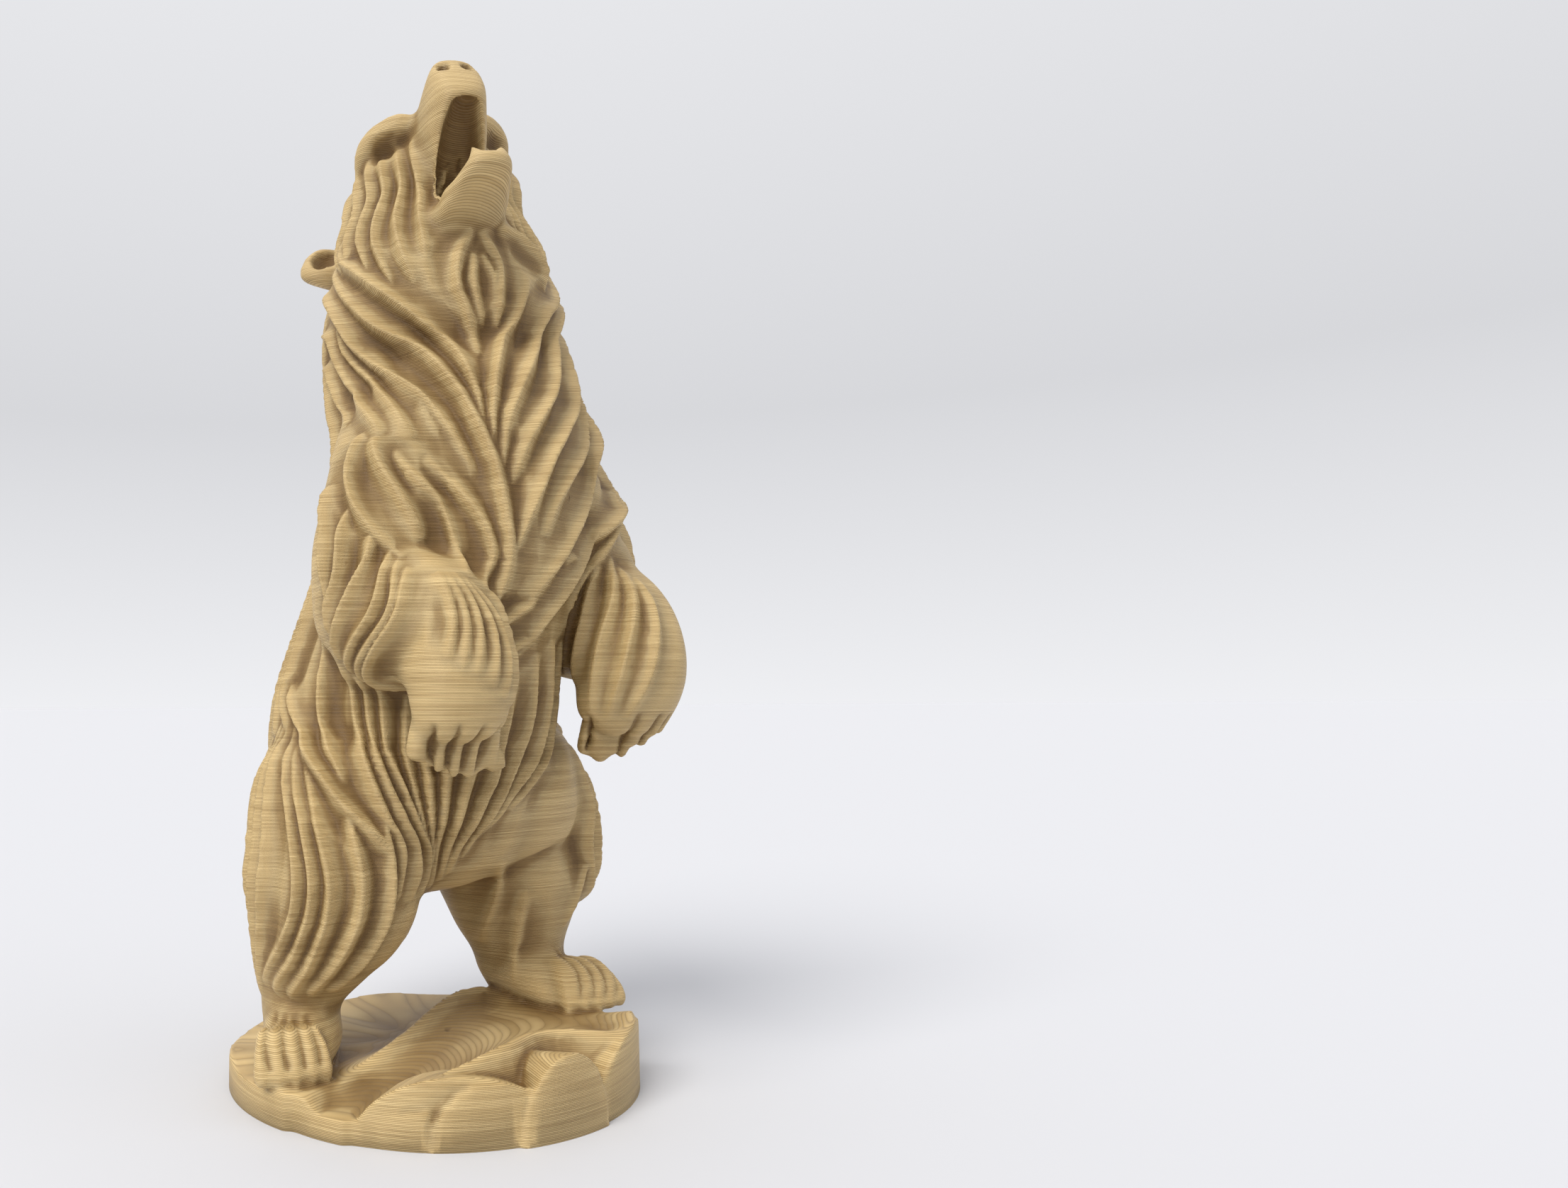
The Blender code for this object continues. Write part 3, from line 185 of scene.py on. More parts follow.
# The head has a frame of its own, at its middle, turned, raised and tilted
HEAD_MIDDLE = (-1.0, -7.0, 134.1)
HEAD_TURN, HEAD_RAISE, HEAD_TILT = -6.1, 27.5, 9.2
# Head stations: left, up, forward, half width, half height
SKULL = [
    (0, -4.0, -18, 8, 7.5), (0, -2.2, -12, 13, 11.4), (0, -0.6, -5, 14.4, 11.2),
    (0, 0, 2, 13.4, 10.2), (0, 0.8, 7, 11.4, 9), (0, 1.2, 11.5, 7, 7),
]
MUZZLE = [
    (0, 0.0, 1, 9.0, 8.6), (0, -0.8, 8, 7.2, 8.4), (0, 0.3, 13.6, 5.3, 6.4),
    (0, 1.2, 17.5, 4.6, 5.6), (0, 1.8, 20.5, 4.1, 5.2), (0, 2.1, 23.2, 3.6, 4.7),
]
JAW = [
    (0, -12.0, 3, 8, 5.0), (0, -12.4, 9.5, 6.3, 3.3), (0, -14.0, 15, 4.9, 2.2),
    (0, -15.2, 19.5, 3.9, 1.7), (0, -15.6, 23, 3.2, 1.3),
]
MOUTH = [
    (0, -7.0, 22.3, 2.8, 5.0), (0, -6.6, 19.5, 3.1, 5.5), (0, -6.4, 16, 3.4, 5.2),
    (0, -7.0, 11, 3.7, 4.2), (0, -8.4, 6, 3.3, 2.6), (0, -9.2, 2.5, 1.6, 1.2),
]
CANINE = [(1.9, -15.0, 21.4, 0.9, 0.9), (2.0, -13.6, 21.3, 0.7, 0.7), (1.9, -12.4, 21.0, 0.4, 0.4)]
TONGUE = [(-0.5, -13.2, 13.0, 0.9, 0.9), (-0.5, -11.0, 15.0, 0.8, 0.8), (-0.5, -9.0, 15.6, 0.6, 0.6)]
EAR = [
    (10.5, 0.8, -13.0, 3.6, 3.2), (13.0, 2.8, -13.6, 5.0, 3.0), (15.0, 4.4, -14.2, 5.6, 2.5),
    (16.8, 5.8, -14.6, 5.0, 1.9), (18.2, 6.8, -14.8, 3.6, 1.5),
]
EAR_CUP = [(12.4, 2.2, -11.4, 2.4, 1.6), (14.8, 4.4, -12.1, 4.0, 2.3), (17.2, 6.2, -12.7, 2.8, 1.6)]
BROW = [
    (4.2, 3.6, 14.2, 1.3, 1.3), (7.0, 4.9, 12.0, 1.9, 1.7), (10.2, 5.4, 8.6, 1.9, 1.6),
    (12.2, 4.6, 3.5, 1.4, 1.3),
]
EYE = [
    (6.3, 2.2, 13.6, 0.8, 0.7), (8.2, 2.4, 11.8, 1.6, 1.4), (9.9, 2.5, 9.6, 2.2, 1.8),
    (11.8, 2.4, 7.2, 1.2, 1.0),
]
NOSTRIL = [(1.9, 3.9, 25.4, 1.3, 1.3), (1.9, 3.9, 23.0, 1.2, 1.2), (1.7, 3.8, 20.8, 0.6, 0.6)]

# Ridges of the rock: x, y, z along the crest, drawn for the heights above
BACK_RIDGE = [
    (-18.5, -14.5, 4.6), (-15.5, -11.5, 5.4), (-11.5, -9, 6.8), (-5.5, -4, 8.2), (0.8, 2, 10.0),
    (6, 6, 10.9), (11, 7, 11.2), (14, 4, 11.0),
]
FRONT_RIDGE = [
    (-19.5, -24.5, 1.5), (-17, -24.5, 4.0), (-12.5, -25.5, 7.0), (-6, -26.5, 9.4),
    (2.5, -23.5, 11), (8.6, -19.5, 11), (14, -19.5, 10.8), (21, -21.5, 10.5), (27, -15, 11.3),
]
# Where the rock's rim has a small step, as angles, and how deep the steps are
NOTCHES = [-57, -39, -19, 31, 55]
NOTCH_DEPTH = 0.8
# How wide a band the ground changes over from one side of the back ridge to the other
SIDE_BLEND = 2.4
# The valley's lowest ground and its climb, the waves on the rear plate, how fast the ground falls
# from each ridge, and the apron in front of the front ridge
VALLEY_LOW, VALLEY_CLIMB = 2.8, 6.2
WAVE_HEIGHT, WAVES = 0.3, 9
BACK_FALL, TROUGH_FALL, LIP_FALL = 2.2, 3.2, 4.5
APRON_LOW, APRON_SLOPE = 0.8, 1.2
# Material left under the rock until it is cut flat, and the thickness of the domes
SPARE = 2.0
DOME_THICKNESS = 8.0
# Overlapping domes on the rock's front: middle angle, half angle, top height, how far they stand out
DOMES = [(-12, 27, 9.0, -0.6), (-3, 16, 8.2, 0.1), (17, 13.5, 10.8, 0.8), (52, 26, 10.6, 0.1)]


def curve_through(points, count):
    """Return count rows on a smooth curve through the rows of points."""
    rows = np.asarray(points, float)
    padded = np.vstack([2 * rows[0] - rows[1], rows, 2 * rows[-1] - rows[-2]])
    place = np.linspace(0, len(rows) - 1, count)
    start = np.minimum(place.astype(int), len(rows) - 2)
    t = (place - start)[:, None]
    a, b, c, d = (padded[start + k] for k in range(4))
    bend = 2 * a - 5 * b + 4 * c - d
    return 0.5 * (2 * b + (c - a) * t + bend * t**2 + (3 * b - a - 3 * c + d) * t**3)


def swept_ball(stations, across=(1, 0, 0), cap=0.12, squareness=1.0):
    """Stretch a ball along stations; a squareness under 1 makes its sections boxy."""
    rows = curve_through(stations, RINGS + 1)
    path = rows[:, :3]
    tangent = np.gradient(path, axis=0)
    tangent /= np.linalg.norm(tangent, axis=1)[:, None]
    deep = np.cross(tangent, np.asarray(across, float))
    deep /= np.linalg.norm(deep, axis=1)[:, None]
    wide = np.cross(deep, tangent)
    share = np.linspace(0, 1, RINGS + 1)
    end = np.clip(np.minimum(share, 1 - share) / cap, 0, 1)
    closing = np.sqrt(1 - (1 - end) ** 2)
    ball = bmesh.new()
    bmesh.ops.create_uvsphere(ball, u_segments=SEGMENTS, v_segments=RINGS, radius=1)
    for vert in ball.verts:
        ring = round((1 - math.acos(max(-1, min(1, vert.co.z))) / math.pi) * RINGS)
        turn = math.atan2(vert.co.y, vert.co.x)
        side = math.copysign(abs(math.cos(turn)) ** squareness, math.cos(turn))
        front = math.copysign(abs(math.sin(turn)) ** squareness, math.sin(turn))
        spread = wide[ring] * rows[ring, 3] * side + deep[ring] * rows[ring, 4] * front
        vert.co = Vector(path[ring] + spread * closing[ring])
    bmesh.ops.remove_doubles(ball, verts=ball.verts, dist=1e-5)
    bmesh.ops.recalc_face_normals(ball, faces=ball.faces)
    return ball


def mesh_object(shapes, name):
    """Put several bmesh shapes in one mesh object."""
    whole = bmesh.new()
    for shape in shapes:
        piece = bpy.data.meshes.new("piece")
        shape.to_mesh(piece)
        shape.free()
        whole.from_mesh(piece)
        bpy.data.meshes.remove(piece)
    mesh = bpy.data.meshes.new(name)
    whole.to_mesh(mesh)
    whole.free()
    return bpy.data.objects.new(name, mesh)


def apply_modifiers(body):
    """Make the object's mesh the result of its modifiers."""
    graph = bpy.context.evaluated_depsgraph_get()
    result = bpy.data.meshes.new_from_object(body.evaluated_get(graph))
    body.modifiers.clear()
    before = body.data
    body.data = result
    bpy.data.meshes.remove(before)


def blend(body, voxel, rounds):
    """Fuse the overlapping shapes of a body and soften their joins."""
    fuse = body.modifiers.new("Fuse", "REMESH")
    fuse.mode = "VOXEL"
    fuse.voxel_size = voxel
    soften = body.modifiers.new("Soften", "SMOOTH")
    soften.factor = SOFTEN_FACTOR
    soften.iterations = rounds
    apply_modifiers(body)


def add_shapes(body, shapes):
    """Add closed shapes to a body's mesh, to be fused with it afterwards."""
    extra = mesh_object(shapes, "extra")
    whole = bmesh.new()
    whole.from_mesh(body.data)
    whole.from_mesh(extra.data)
    whole.to_mesh(body.data)
    whole.free()
    mesh = extra.data
    bpy.data.objects.remove(extra)
    bpy.data.meshes.remove(mesh)


# Head
def head_axes():
    """Return the head's left, up and forward directions."""
    turn, rise, tilt = (math.radians(value) for value in (HEAD_TURN, HEAD_RAISE, HEAD_TILT))
    flat = math.cos(rise)
    forward = np.array([math.sin(turn) * flat, -math.cos(turn) * flat, math.sin(rise)])
    left = np.array([math.cos(turn), math.sin(turn), 0.0])
    up = np.cross(forward, left)
    tilted_left = left * math.cos(tilt) + up * math.sin(tilt)
    tilted_up = up * math.cos(tilt) - left * math.sin(tilt)
    return tilted_left, tilted_up, forward


def head_ball(stations, side=1, **shape):
    """Sweep a ball along head stations, mirrored to the other side where side is -1."""
    axes = np.array(head_axes())
    placed = []
    for left, up, forward, wide, tall in stations:
        spot = np.array(HEAD_MIDDLE) + np.array([left * side, up, forward]) @ axes
        placed.append((*spot, wide, tall))
    return swept_ball(placed, across=tuple(axes[0]), **shape)


def both_sides(stations, **shape):
    return [head_ball(stations, side, **shape) for side in (-1, 1)]


# Hands and feet
def digit(root, tip, radius):
    """A finger or toe from root to tip, a little thinner at its end."""
    root, tip = np.array(root, float), np.array(tip, float)
    swell = ((0, 1.15), (0.5, 1.1), (0.85, 0.95), (1.0, 0.8))
    rows = [(*(root + (tip - root) * t), radius * k, radius * k) for t, k in swell]
    return swept_ball(rows, cap=0.25)


def fingers(knuckles, tips, follow):
    """Fingers that fan out from the knuckles; follow is how far their roots copy the tips."""
    middle = np.mean([tip[:3] for tip in tips], axis=0)
    roots = [np.array(knuckles) + (np.array(tip[:3]) - middle) * follow for tip in tips]
    return [digit(root, tip[:3], tip[3]) for root, tip in zip(roots, tips)]


def toes(heel, first, last, bow, height, rise):
    """A row of arched toes between first and last, bowed forward in the middle."""
    made = []
    for step in range(TOES):
        share = step / (TOES - 1)
        x = first[0] + (last[0] - first[0]) * share
        y = first[1] - bow * math.sin(math.pi * (0.15 + 0.8 * share))
        tip = (x, y, height + rise * share)
        size = TOE_RADIUS - 0.15 * abs(share - 0.45)
        rows = []
        for spread, forward, drop in TOE_ARCH:
            place = (heel[0] + (x - heel[0]) * spread, heel[1] + (tip[1] - heel[1]) * forward)
            rows.append((*place, heel[2] + (tip[2] - heel[2]) * drop, size, size))
        made.append(swept_ball(rows, cap=0.25))
    return made


# Rock
def nearest_on(ridge, x, y):
    """Distance to a ridge line, its height there, and the side (positive on its left)."""
    line = curve_through(ridge, 160)
    along = np.gradient(line[:, :2], axis=0)
    along /= np.linalg.norm(along, axis=1)[:, None]
    gap = np.stack([x, y], 1)[:, None, :] - line[None, :, :2]
    best = (gap**2).sum(2).argmin(1)
    rest = gap[np.arange(len(x)), best]
    side = along[best, 0] * rest[:, 1] - along[best, 1] * rest[:, 0]
    return np.hypot(rest[:, 0], rest[:, 1]), line[best, 2], side


def rock_top(x, y):
    """Heights of the rock at x, y, as drawn, before they are fitted to the real heights."""
    x, y = x * DRAWN_RADIUS / RADIUS, y * DRAWN_RADIUS / RADIUS
    climb = np.clip((0.95 * (x + 24) + 0.31 * (y + 20)) / 48, 0, 1)
    valley = VALLEY_LOW + VALLEY_CLIMB * climb * climb * (3 - 2 * climb)
    back_gap, back_height, back_side = nearest_on(BACK_RIDGE, x, y)
    front_gap, front_height, front_side = nearest_on(FRONT_RIDGE, x, y)
    wave = WAVE_HEIGHT * np.sin(np.arctan2(y, x) * WAVES) * np.hypot(x, y) / DRAWN_RADIUS
    plate = DRAWN_EDGE + wave + (back_height - DRAWN_EDGE) * np.exp(-back_gap / BACK_FALL)
    hollow = np.maximum((back_height - valley) * np.exp(-back_gap / TROUGH_FALL), 0)
    lip = np.maximum((front_height - valley) * np.exp(-front_gap / LIP_FALL), 0)
    trough = valley + np.maximum(hollow, lip)
    apron = np.maximum(APRON_LOW, front_height - APRON_SLOPE * front_gap)
    behind = np.clip(0.5 + back_side / SIDE_BLEND, 0, 1)
    ground = behind * plate + (1 - behind) * trough
    return np.where((front_side < 0) & (behind < 1), apron, ground)


def fitted(height):
    """Stretch drawn rock heights to the rock's own edge and ledge heights, from the feet's level."""
    real = np.interp(height, (0, DRAWN_EDGE, DRAWN_LEDGE, 20), (0, EDGE, LEDGE, LEDGE + 9.5))
    return real - LIFT


def fine_cube(cuts):
    cube = bmesh.new()
    bmesh.ops.create_cube(cube, size=2)
    bmesh.ops.subdivide_edges(cube, edges=cube.edges[:], cuts=cuts, use_grid_fill=True)
    places = np.array([vert.co[:] for vert in cube.verts])
    return cube, places[:, 0], places[:, 1], places[:, 2]


def rim_radius(angle):
    """Radius of the rock's rim, which steps in by NOTCH_DEPTH after each of its notches."""
    angles, radii = [-180], [RADIUS]
    for start, end in zip(NOTCHES, NOTCHES[1:] + [180]):
        angles += [start - 0.5, start + 0.5]
        radii += [RADIUS, RADIUS - NOTCH_DEPTH]
    return np.interp(angle, angles + [100, 180], radii + [RADIUS, RADIUS])


def rock_plate():
    """The rock's body: a fine cube drawn out to a disc whose top follows rock_top."""
    rock, u, v, w = fine_cube(70)
    x = u * np.sqrt(1 - v * v / 2)
    y = v * np.sqrt(1 - u * u / 2)
    rim = rim_radius(np.degrees(np.arctan2(x, -y)))
    x, y = x * rim, y * rim
    top = fitted(rock_top(x, y))
    z = -SPARE - LIFT + (w + 1) / 2 * (top + SPARE + LIFT)
    for vert, place in zip(rock.verts, np.stack([x, y, z], 1)):
        vert.co = Vector(place)
    return rock


def rock_dome(middle, half, top, out):
    """A wall bent round the rim, with an arched top."""
    dome, u, v, w = fine_cube(24)
    angle = np.radians(middle + half * u)
    radius = RADIUS + out - (1 - v) / 2 * DOME_THICKNESS
    arch = top * np.sqrt(np.clip(1 - u * u, 0, 1)) * (0.85 + 0.15 * (v + 1) / 2)
    z = -SPARE - LIFT + (w + 1) / 2 * (fitted(arch) + SPARE + LIFT)
    places = np.stack([np.sin(angle) * radius, -np.cos(angle) * radius, z], 1)
    for vert, place in zip(dome.verts, places):
        vert.co = Vector(place)
    bmesh.ops.recalc_face_normals(dome, faces=dome.faces)
    return dome


# Carving
def body_axis(height):
    """Middle of the torso at a height."""
    rows = np.array(TORSO)
    return np.interp(height, rows[:, 2], rows[:, 0]), np.interp(height, rows[:, 2], rows[:, 1])


def post(x, y):
    """An upright axis through x, y."""
    return lambda height: (x, y)


def outside(reach):
    """A start at one distance from the axis."""
    return lambda angle, height: reach


def behind_paws(angle, height):
    """A start outside the hips, but between the belly and the paws that hang in front of it."""
    return 27 if -38 < angle < 75 and height > 44 else 45


# Axis of each carved region, and the distance from it at which a line starts inwards
REGIONS = {
    "body": (body_axis, outside(45)),
    "belly": (body_axis, behind_paws),
    "right shoulder": (post(-9, -12), outside(18)),
    "right arm": (post(-9, -20), outside(19)),
    "left arm": (post(25, -5), outside(19)),
    "right leg": (post(-17, 2), outside(24)),
    "left leg": (post(17, 9), outside(19)),
    "right foot": (post(-22, 4), outside(26)),
    "left foot": (post(20, 8), outside(24)),
    "right hand": (post(-5, -15), outside(18)),
    "left hand": (post(27, -2), outside(16)),
}
# Crests, or grooves where the height is negative: region, how many, height share, half width,
# and the guide lines they are spread between, each a few places given as (angle, height)
FAMILIES = [
    ("body", 1, 1.3, 1.5, [
        [(-100, 131), (-80, 124), (-61, 120), (-29, 112), (-14, 106), (-9, 97), (-5, 91)],
    ]),
    ("body", 1, 1.6, 1.6, [
        [(-105, 126), (-70, 117), (-51, 112), (-37, 109), (-25, 105), (-13, 97), (-5, 89), (0, 81),
         (3, 75), (0, 68)],
    ]),
    ("body", 1, 1.5, 1.6, [
        [(-125, 124), (-85, 117), (-60, 108), (-47, 104), (-26, 97), (-12, 88)],
    ]),
    ("body", 1, 1.1, 1.5, [
        [(-120, 116), (-90, 113), (-76, 106), (-60, 100)],
    ]),
    ("body", 1, 1.1, 1.5, [
        [(-125, 111), (-99, 109), (-85, 102), (-70, 98)],
    ]),
    ("body", 3, 1.0, 1.3, [
        [(-84, 119), (-66, 111), (-50, 106), (-36, 100), (-25, 93)],
        [(-92, 112), (-78, 106), (-64, 101), (-52, 97), (-46, 94)],
    ]),
    ("body", 1, 1.3, 1.5, [
        [(108, 139), (109, 135), (98, 130), (78, 123), (57, 118), (42, 115), (29, 110), (14, 104),
         (3, 98), (-1, 92), (-2, 86)],
    ]),
    ("body", 1, 1.5, 1.7, [
        [(118, 138), (122, 133), (112, 129), (91, 123), (69, 118), (50, 113), (38, 108), (27, 102),
         (16, 97), (7, 92), (1, 86)],
    ]),
    ("body", 1, 1.6, 1.7, [
        [(127, 132), (122, 127), (107, 123), (84, 116), (66, 111), (55, 106), (45, 101), (33, 97),
         (21, 92), (12, 86), (6, 80), (4, 76)],
    ]),
    ("body", 1, 1.6, 1.7, [
        [(135, 132), (138, 126), (120, 121), (94, 114), (76, 107), (66, 102), (57, 98), (46, 94),
         (33, 90), (22, 85), (17, 80)],
    ]),
    ("body", 1, 1.6, 1.7, [
        [(148, 128), (140, 123), (130, 118), (113, 113), (95, 108), (85, 104), (77, 99), (64, 94),
         (55, 89), (38, 83), (24, 76), (12, 69)],
    ]),
    ("body", 1, 1.6, 1.7, [
        [(160, 127), (155, 122), (148, 116), (133, 111), (114, 105), (98, 99), (91, 94), (84, 89),
         (69, 85), (52, 80), (36, 74), (24, 68), (14, 61)],
    ]),
    ("body", 1, 1.2, 1.5, [
        [(104, 96), (91, 92), (80, 89), (68, 84), (57, 77), (49, 70)],
    ]),
    ("body", 1, 1.2, 1.4, [
        [(31, 120), (20, 114), (6, 108), (-3, 101), (-5, 95), (-4, 89)],
    ]),
    ("body", 6, 0.9, 1.1, [
        [(38, 141), (28, 135), (28, 130), (40, 125)],
        [(53, 141), (45, 136), (45, 130), (55, 123)],
        [(86, 141), (76, 136), (77, 130), (67, 122)],
        [(108, 139), (100, 134), (90, 129), (74, 122)],
    ]),
    ("body", 6, 0.9, 1.1, [
        [(-34, 140), (-28, 134), (-26, 128), (-25, 121)],
        [(-59, 139), (-50, 133), (-50, 125), (-36, 115)],
        [(-80, 139), (-72, 133), (-70, 126), (-55, 118)],
        [(-108, 137), (-100, 131), (-92, 126), (-76, 121)],
    ]),
    ("body", 1, 1.0, 1.2, [
        [(-1, 125), (-9, 121), (-11, 117), (-7, 113), (-4, 107)],
    ]),
    ("body", 1, 1.0, 1.2, [
        [(4, 125), (11, 121), (10, 116), (7, 110)],
    ]),
    ("body", 2, 0.7, 0.9, [
        [(-1, 122), (-3, 117), (1, 111)],
        [(3, 122), (8, 118), (6, 112)],
    ]),
    ("body", 1, 1.0, 1.3, [
        [(15, 126), (30, 126), (47, 124), (58, 120)],
    ]),
    ("right shoulder", 1, 1.3, 1.4, [
        [(-48, 95), (-52, 89), (-40, 83), (-13, 76)],
    ]),
    ("right shoulder", 1, 1.3, 1.4, [
        [(-34, 94), (-28, 90), (-14, 85), (2, 79)],
    ]),
    ("right shoulder", 1, 1.0, 1.3, [
        [(-20, 92), (-4, 88), (14, 84), (22, 78), (14, 73)],
    ]),
    ("right shoulder", 1, 1.0, 1.3, [
        [(5, 91), (24, 86), (35, 80), (36, 75), (18, 70)],
    ]),
    ("right arm", 6, 1.2, 1.3, [
        [(-120, 88), (-105, 80), (-106, 70)],
        [(-72, 82), (-83, 73), (-104, 63)],
        [(-40, 77), (-40, 68), (-112, 60)],
        [(-22, 75), (-36, 66), (-120, 58)],
    ]),
    ("right arm", 5, 0.8, 1.2, [
        [(3, 74), (6, 68), (2, 62)],
        [(14, 74), (20, 68), (16, 60)],
        [(26, 73), (36, 66), (34, 57)],
    ]),
    ("right arm", 4, 0.9, 1.2, [
        [(52, 72), (52, 66), (48, 56)],
        [(95, 72), (88, 66), (80, 56)],
    ]),
    ("left arm", 5, 0.9, 1.3, [
        [(-15, 82), (-36, 76), (-43, 69), (-60, 62)],
        [(1, 80), (-7, 73), (-18, 65), (-25, 54)],
        [(14, 76), (14, 70), (10, 63), (2, 54)],
    ]),
    ("left arm", 6, 1.4, 1.4, [
        [(84, 97), (90, 85), (98, 77), (112, 71), (165, 63)],
        [(110, 100), (119, 87), (124, 79), (140, 71), (200, 64)],
        [(134, 102), (141, 88), (143, 80), (155, 73), (205, 64)],
        [(176, 104), (190, 90), (190, 82), (196, 74), (206, 66)],
    ]),
    ("left arm", 2, 1.0, 1.2, [
        [(75, 76), (79, 70), (94, 62)],
        [(85, 73), (90, 67), (112, 62)],
    ]),
    ("belly", 1, 1.6, 1.5, [
        [(-93, 61), (-76, 56), (-58, 51), (-46, 47), (-38, 43), (-30, 39), (-25, 35), (-25, 28)],
    ]),
    ("belly", 1, 1.2, 1.4, [
        [(-66, 66), (-62, 60), (-55, 54), (-43, 49), (-35, 43)],
    ]),
    ("belly", 3, 1.4, 1.4, [
        [(-46, 62), (-41, 56), (-33, 49), (-26, 41), (-22, 36), (-23, 28)],
        [(-33, 60), (-29, 55), (-24, 48), (-16, 39), (-13, 35), (-17, 28)],
    ]),
    ("belly", 3, 1.2, 1.2, [
        [(-22, 58), (-19, 50), (-16, 43), (-13, 36), (-14, 29)],
        [(-2, 58), (-4, 48), (-6, 41), (-9, 35), (-11, 29)],
    ]),
    ("belly", 5, 1.3, 1.4, [
        [(8, 60), (6, 49), (1, 42), (-3, 36), (-6, 30)],
        [(19, 60), (17, 49), (9, 42), (2, 36), (-2, 31)],
        [(27, 64), (30, 55), (24, 48), (13, 40), (4, 33)],
        [(37, 66), (44, 57), (38, 49), (22, 43), (8, 35)],
        [(50, 66), (56, 58), (51, 50), (36, 45), (18, 40)],
    ]),
    ("body", 3, 1.5, 1.6, [
        [(150, 84), (143, 77), (127, 67), (115, 61), (98, 55), (85, 52)],
        [(172, 92), (168, 80), (149, 69), (132, 62), (114, 56), (97, 53), (85, 51)],
        [(177, 84), (174, 76), (160, 66), (140, 58), (123, 55), (105, 53), (92, 51)],
    ]),
    ("body", 2, 1.3, 1.6, [
        [(178, 76), (169, 69), (159, 61), (150, 54), (130, 49), (120, 43)],
        [(184, 72), (176, 64), (170, 56), (163, 49), (155, 42)],
    ]),
    ("body", 2, 1.2, 1.5, [
        [(176, 98), (172, 91), (160, 85), (146, 79), (128, 72), (115, 67)],
        [(150, 102), (145, 94), (141, 86), (138, 80), (131, 73)],
    ]),
    ("left leg", 7, 1.3, 1.5, [
        [(46, 47), (45, 40), (47, 34), (60, 28), (93, 22)],
        [(54, 47), (63, 42), (68, 34), (78, 28), (108, 20)],
        [(87, 50), (86, 41), (89, 33), (98, 27), (116, 20)],
        [(112, 50), (104, 42), (105, 34), (115, 27), (126, 18)],
        [(150, 52), (128, 43), (124, 36), (121, 28), (134, 18)],
        [(190, 55), (172, 49), (152, 43), (140, 34), (145, 22)],
        [(213, 55), (200, 48), (178, 42), (158, 34), (160, 22)],
    ]),
    ("left leg", 1, 0.9, 1.5, [
        [(28, 50), (38, 45), (46, 39), (50, 33), (48, 26), (42, 20)],
    ]),
    ("left leg", 2, 0.5, 1.4, [
        [(-26, 33), (-38, 25), (-60, 18)],
        [(-10, 27), (-17, 20), (-22, 12)],
    ]),
    ("right leg", 5, 1.2, 1.5, [
        [(-60, 54), (-36, 45), (-27, 37), (-25, 31), (-30, 26), (-46, 21), (-85, 15)],
        [(-30, 50), (-18, 43), (-12, 37), (-9, 31), (-12, 25), (-23, 19), (-46, 14)],
        [(4, 46), (12, 41), (15, 36), (17, 31), (16, 25), (8, 19), (-4, 15)],
    ]),
    ("right leg", 3, 1.2, 1.5, [
        [(-75, 54), (-58, 44), (-52, 34), (-64, 24), (-97, 13)],
        [(-95, 54), (-92, 44), (-88, 35), (-96, 25), (-112, 13)],
    ]),
    ("right leg", 4, 1.1, 1.5, [
        [(-112, 52), (-106, 38), (-110, 27), (-122, 13)],
        [(-160, 52), (-158, 38), (-160, 27), (-165, 12)],
    ]),
    ("body", 6, 1.5, 1.8, [
        [(186, 126), (192, 110), (192, 92), (190, 74), (184, 60), (176, 46)],
        [(214, 124), (218, 108), (224, 92), (220, 75), (214, 58), (206, 42)],
        [(246, 122), (250, 107), (262, 92), (256, 76), (250, 60), (246, 44)],
    ]),
    ("body", 3, 1.3, 1.5, [
        [(-106, 104), (-100, 92), (-108, 78), (-112, 64), (-104, 50)],
        [(-90, 96), (-92, 84), (-98, 72), (-92, 60), (-78, 52)],
    ]),
    ("right foot", 4, -0.3, 0.5, [
        [(-25, 12), (-20, 9), (-17, 7)],
        [(6, 12), (5, 9), (4, 7)],
    ]),
    ("left foot", 4, -0.3, 0.5, [
        [(15, 17), (9, 14), (4, 11)],
        [(45, 17), (34, 14), (25, 11)],
    ]),
    ("right hand", 4, -0.5, 0.5, [
        [(-16, 54), (-18, 46)],
        [(18, 54), (20, 46)],
    ]),
    ("left hand", 4, -0.5, 0.5, [
        [(26, 55), (27, 46)],
        [(16, 55), (18, 45)],
        [(1, 55), (2, 45)],
        [(-27, 55), (-32, 46)],
    ]),
]


def between(guides, share):
    """The line at a share of the way from the first guide to the last."""
    lines = [curve_through(guide, 25) for guide in guides]
    if len(lines) == 1:
        return lines[0]
    place = share * (len(lines) - 1)
    low = min(int(place), len(lines) - 2)
    return lines[low] + (lines[low + 1] - lines[low]) * (place - low)


def first_outer_face(tree, start, heading):
    """Where a line first enters the surface from outside, also if it starts inside a limb."""
    origin, heading = Vector(start), Vector(heading)
    for _ in range(8):
        spot, normal, _, _ = tree.ray_cast(origin, heading)
        if spot is None:
            return None
        if normal.dot(heading) < 0:
            return spot, normal
        origin = spot + heading * 0.01
    return None


def crest_line(tree, region, places):
    """Lay a line of (angle, height) places on the surface; return its points and normals."""
    axis, reach = REGIONS[region]
    spots, normals = [], []
    for angle, height in curve_through(places, CREST_SAMPLES):
        x, y = axis(height)
        out = np.array([math.sin(math.radians(angle)), -math.cos(math.radians(angle)), 0])
        start = np.array([x, y, height]) + out * reach(angle, height)
        hit = first_outer_face(tree, start, -out)
        if hit:
            spots.append(hit[0])
            normals.append(hit[1])
    return np.array(spots), np.array(normals)


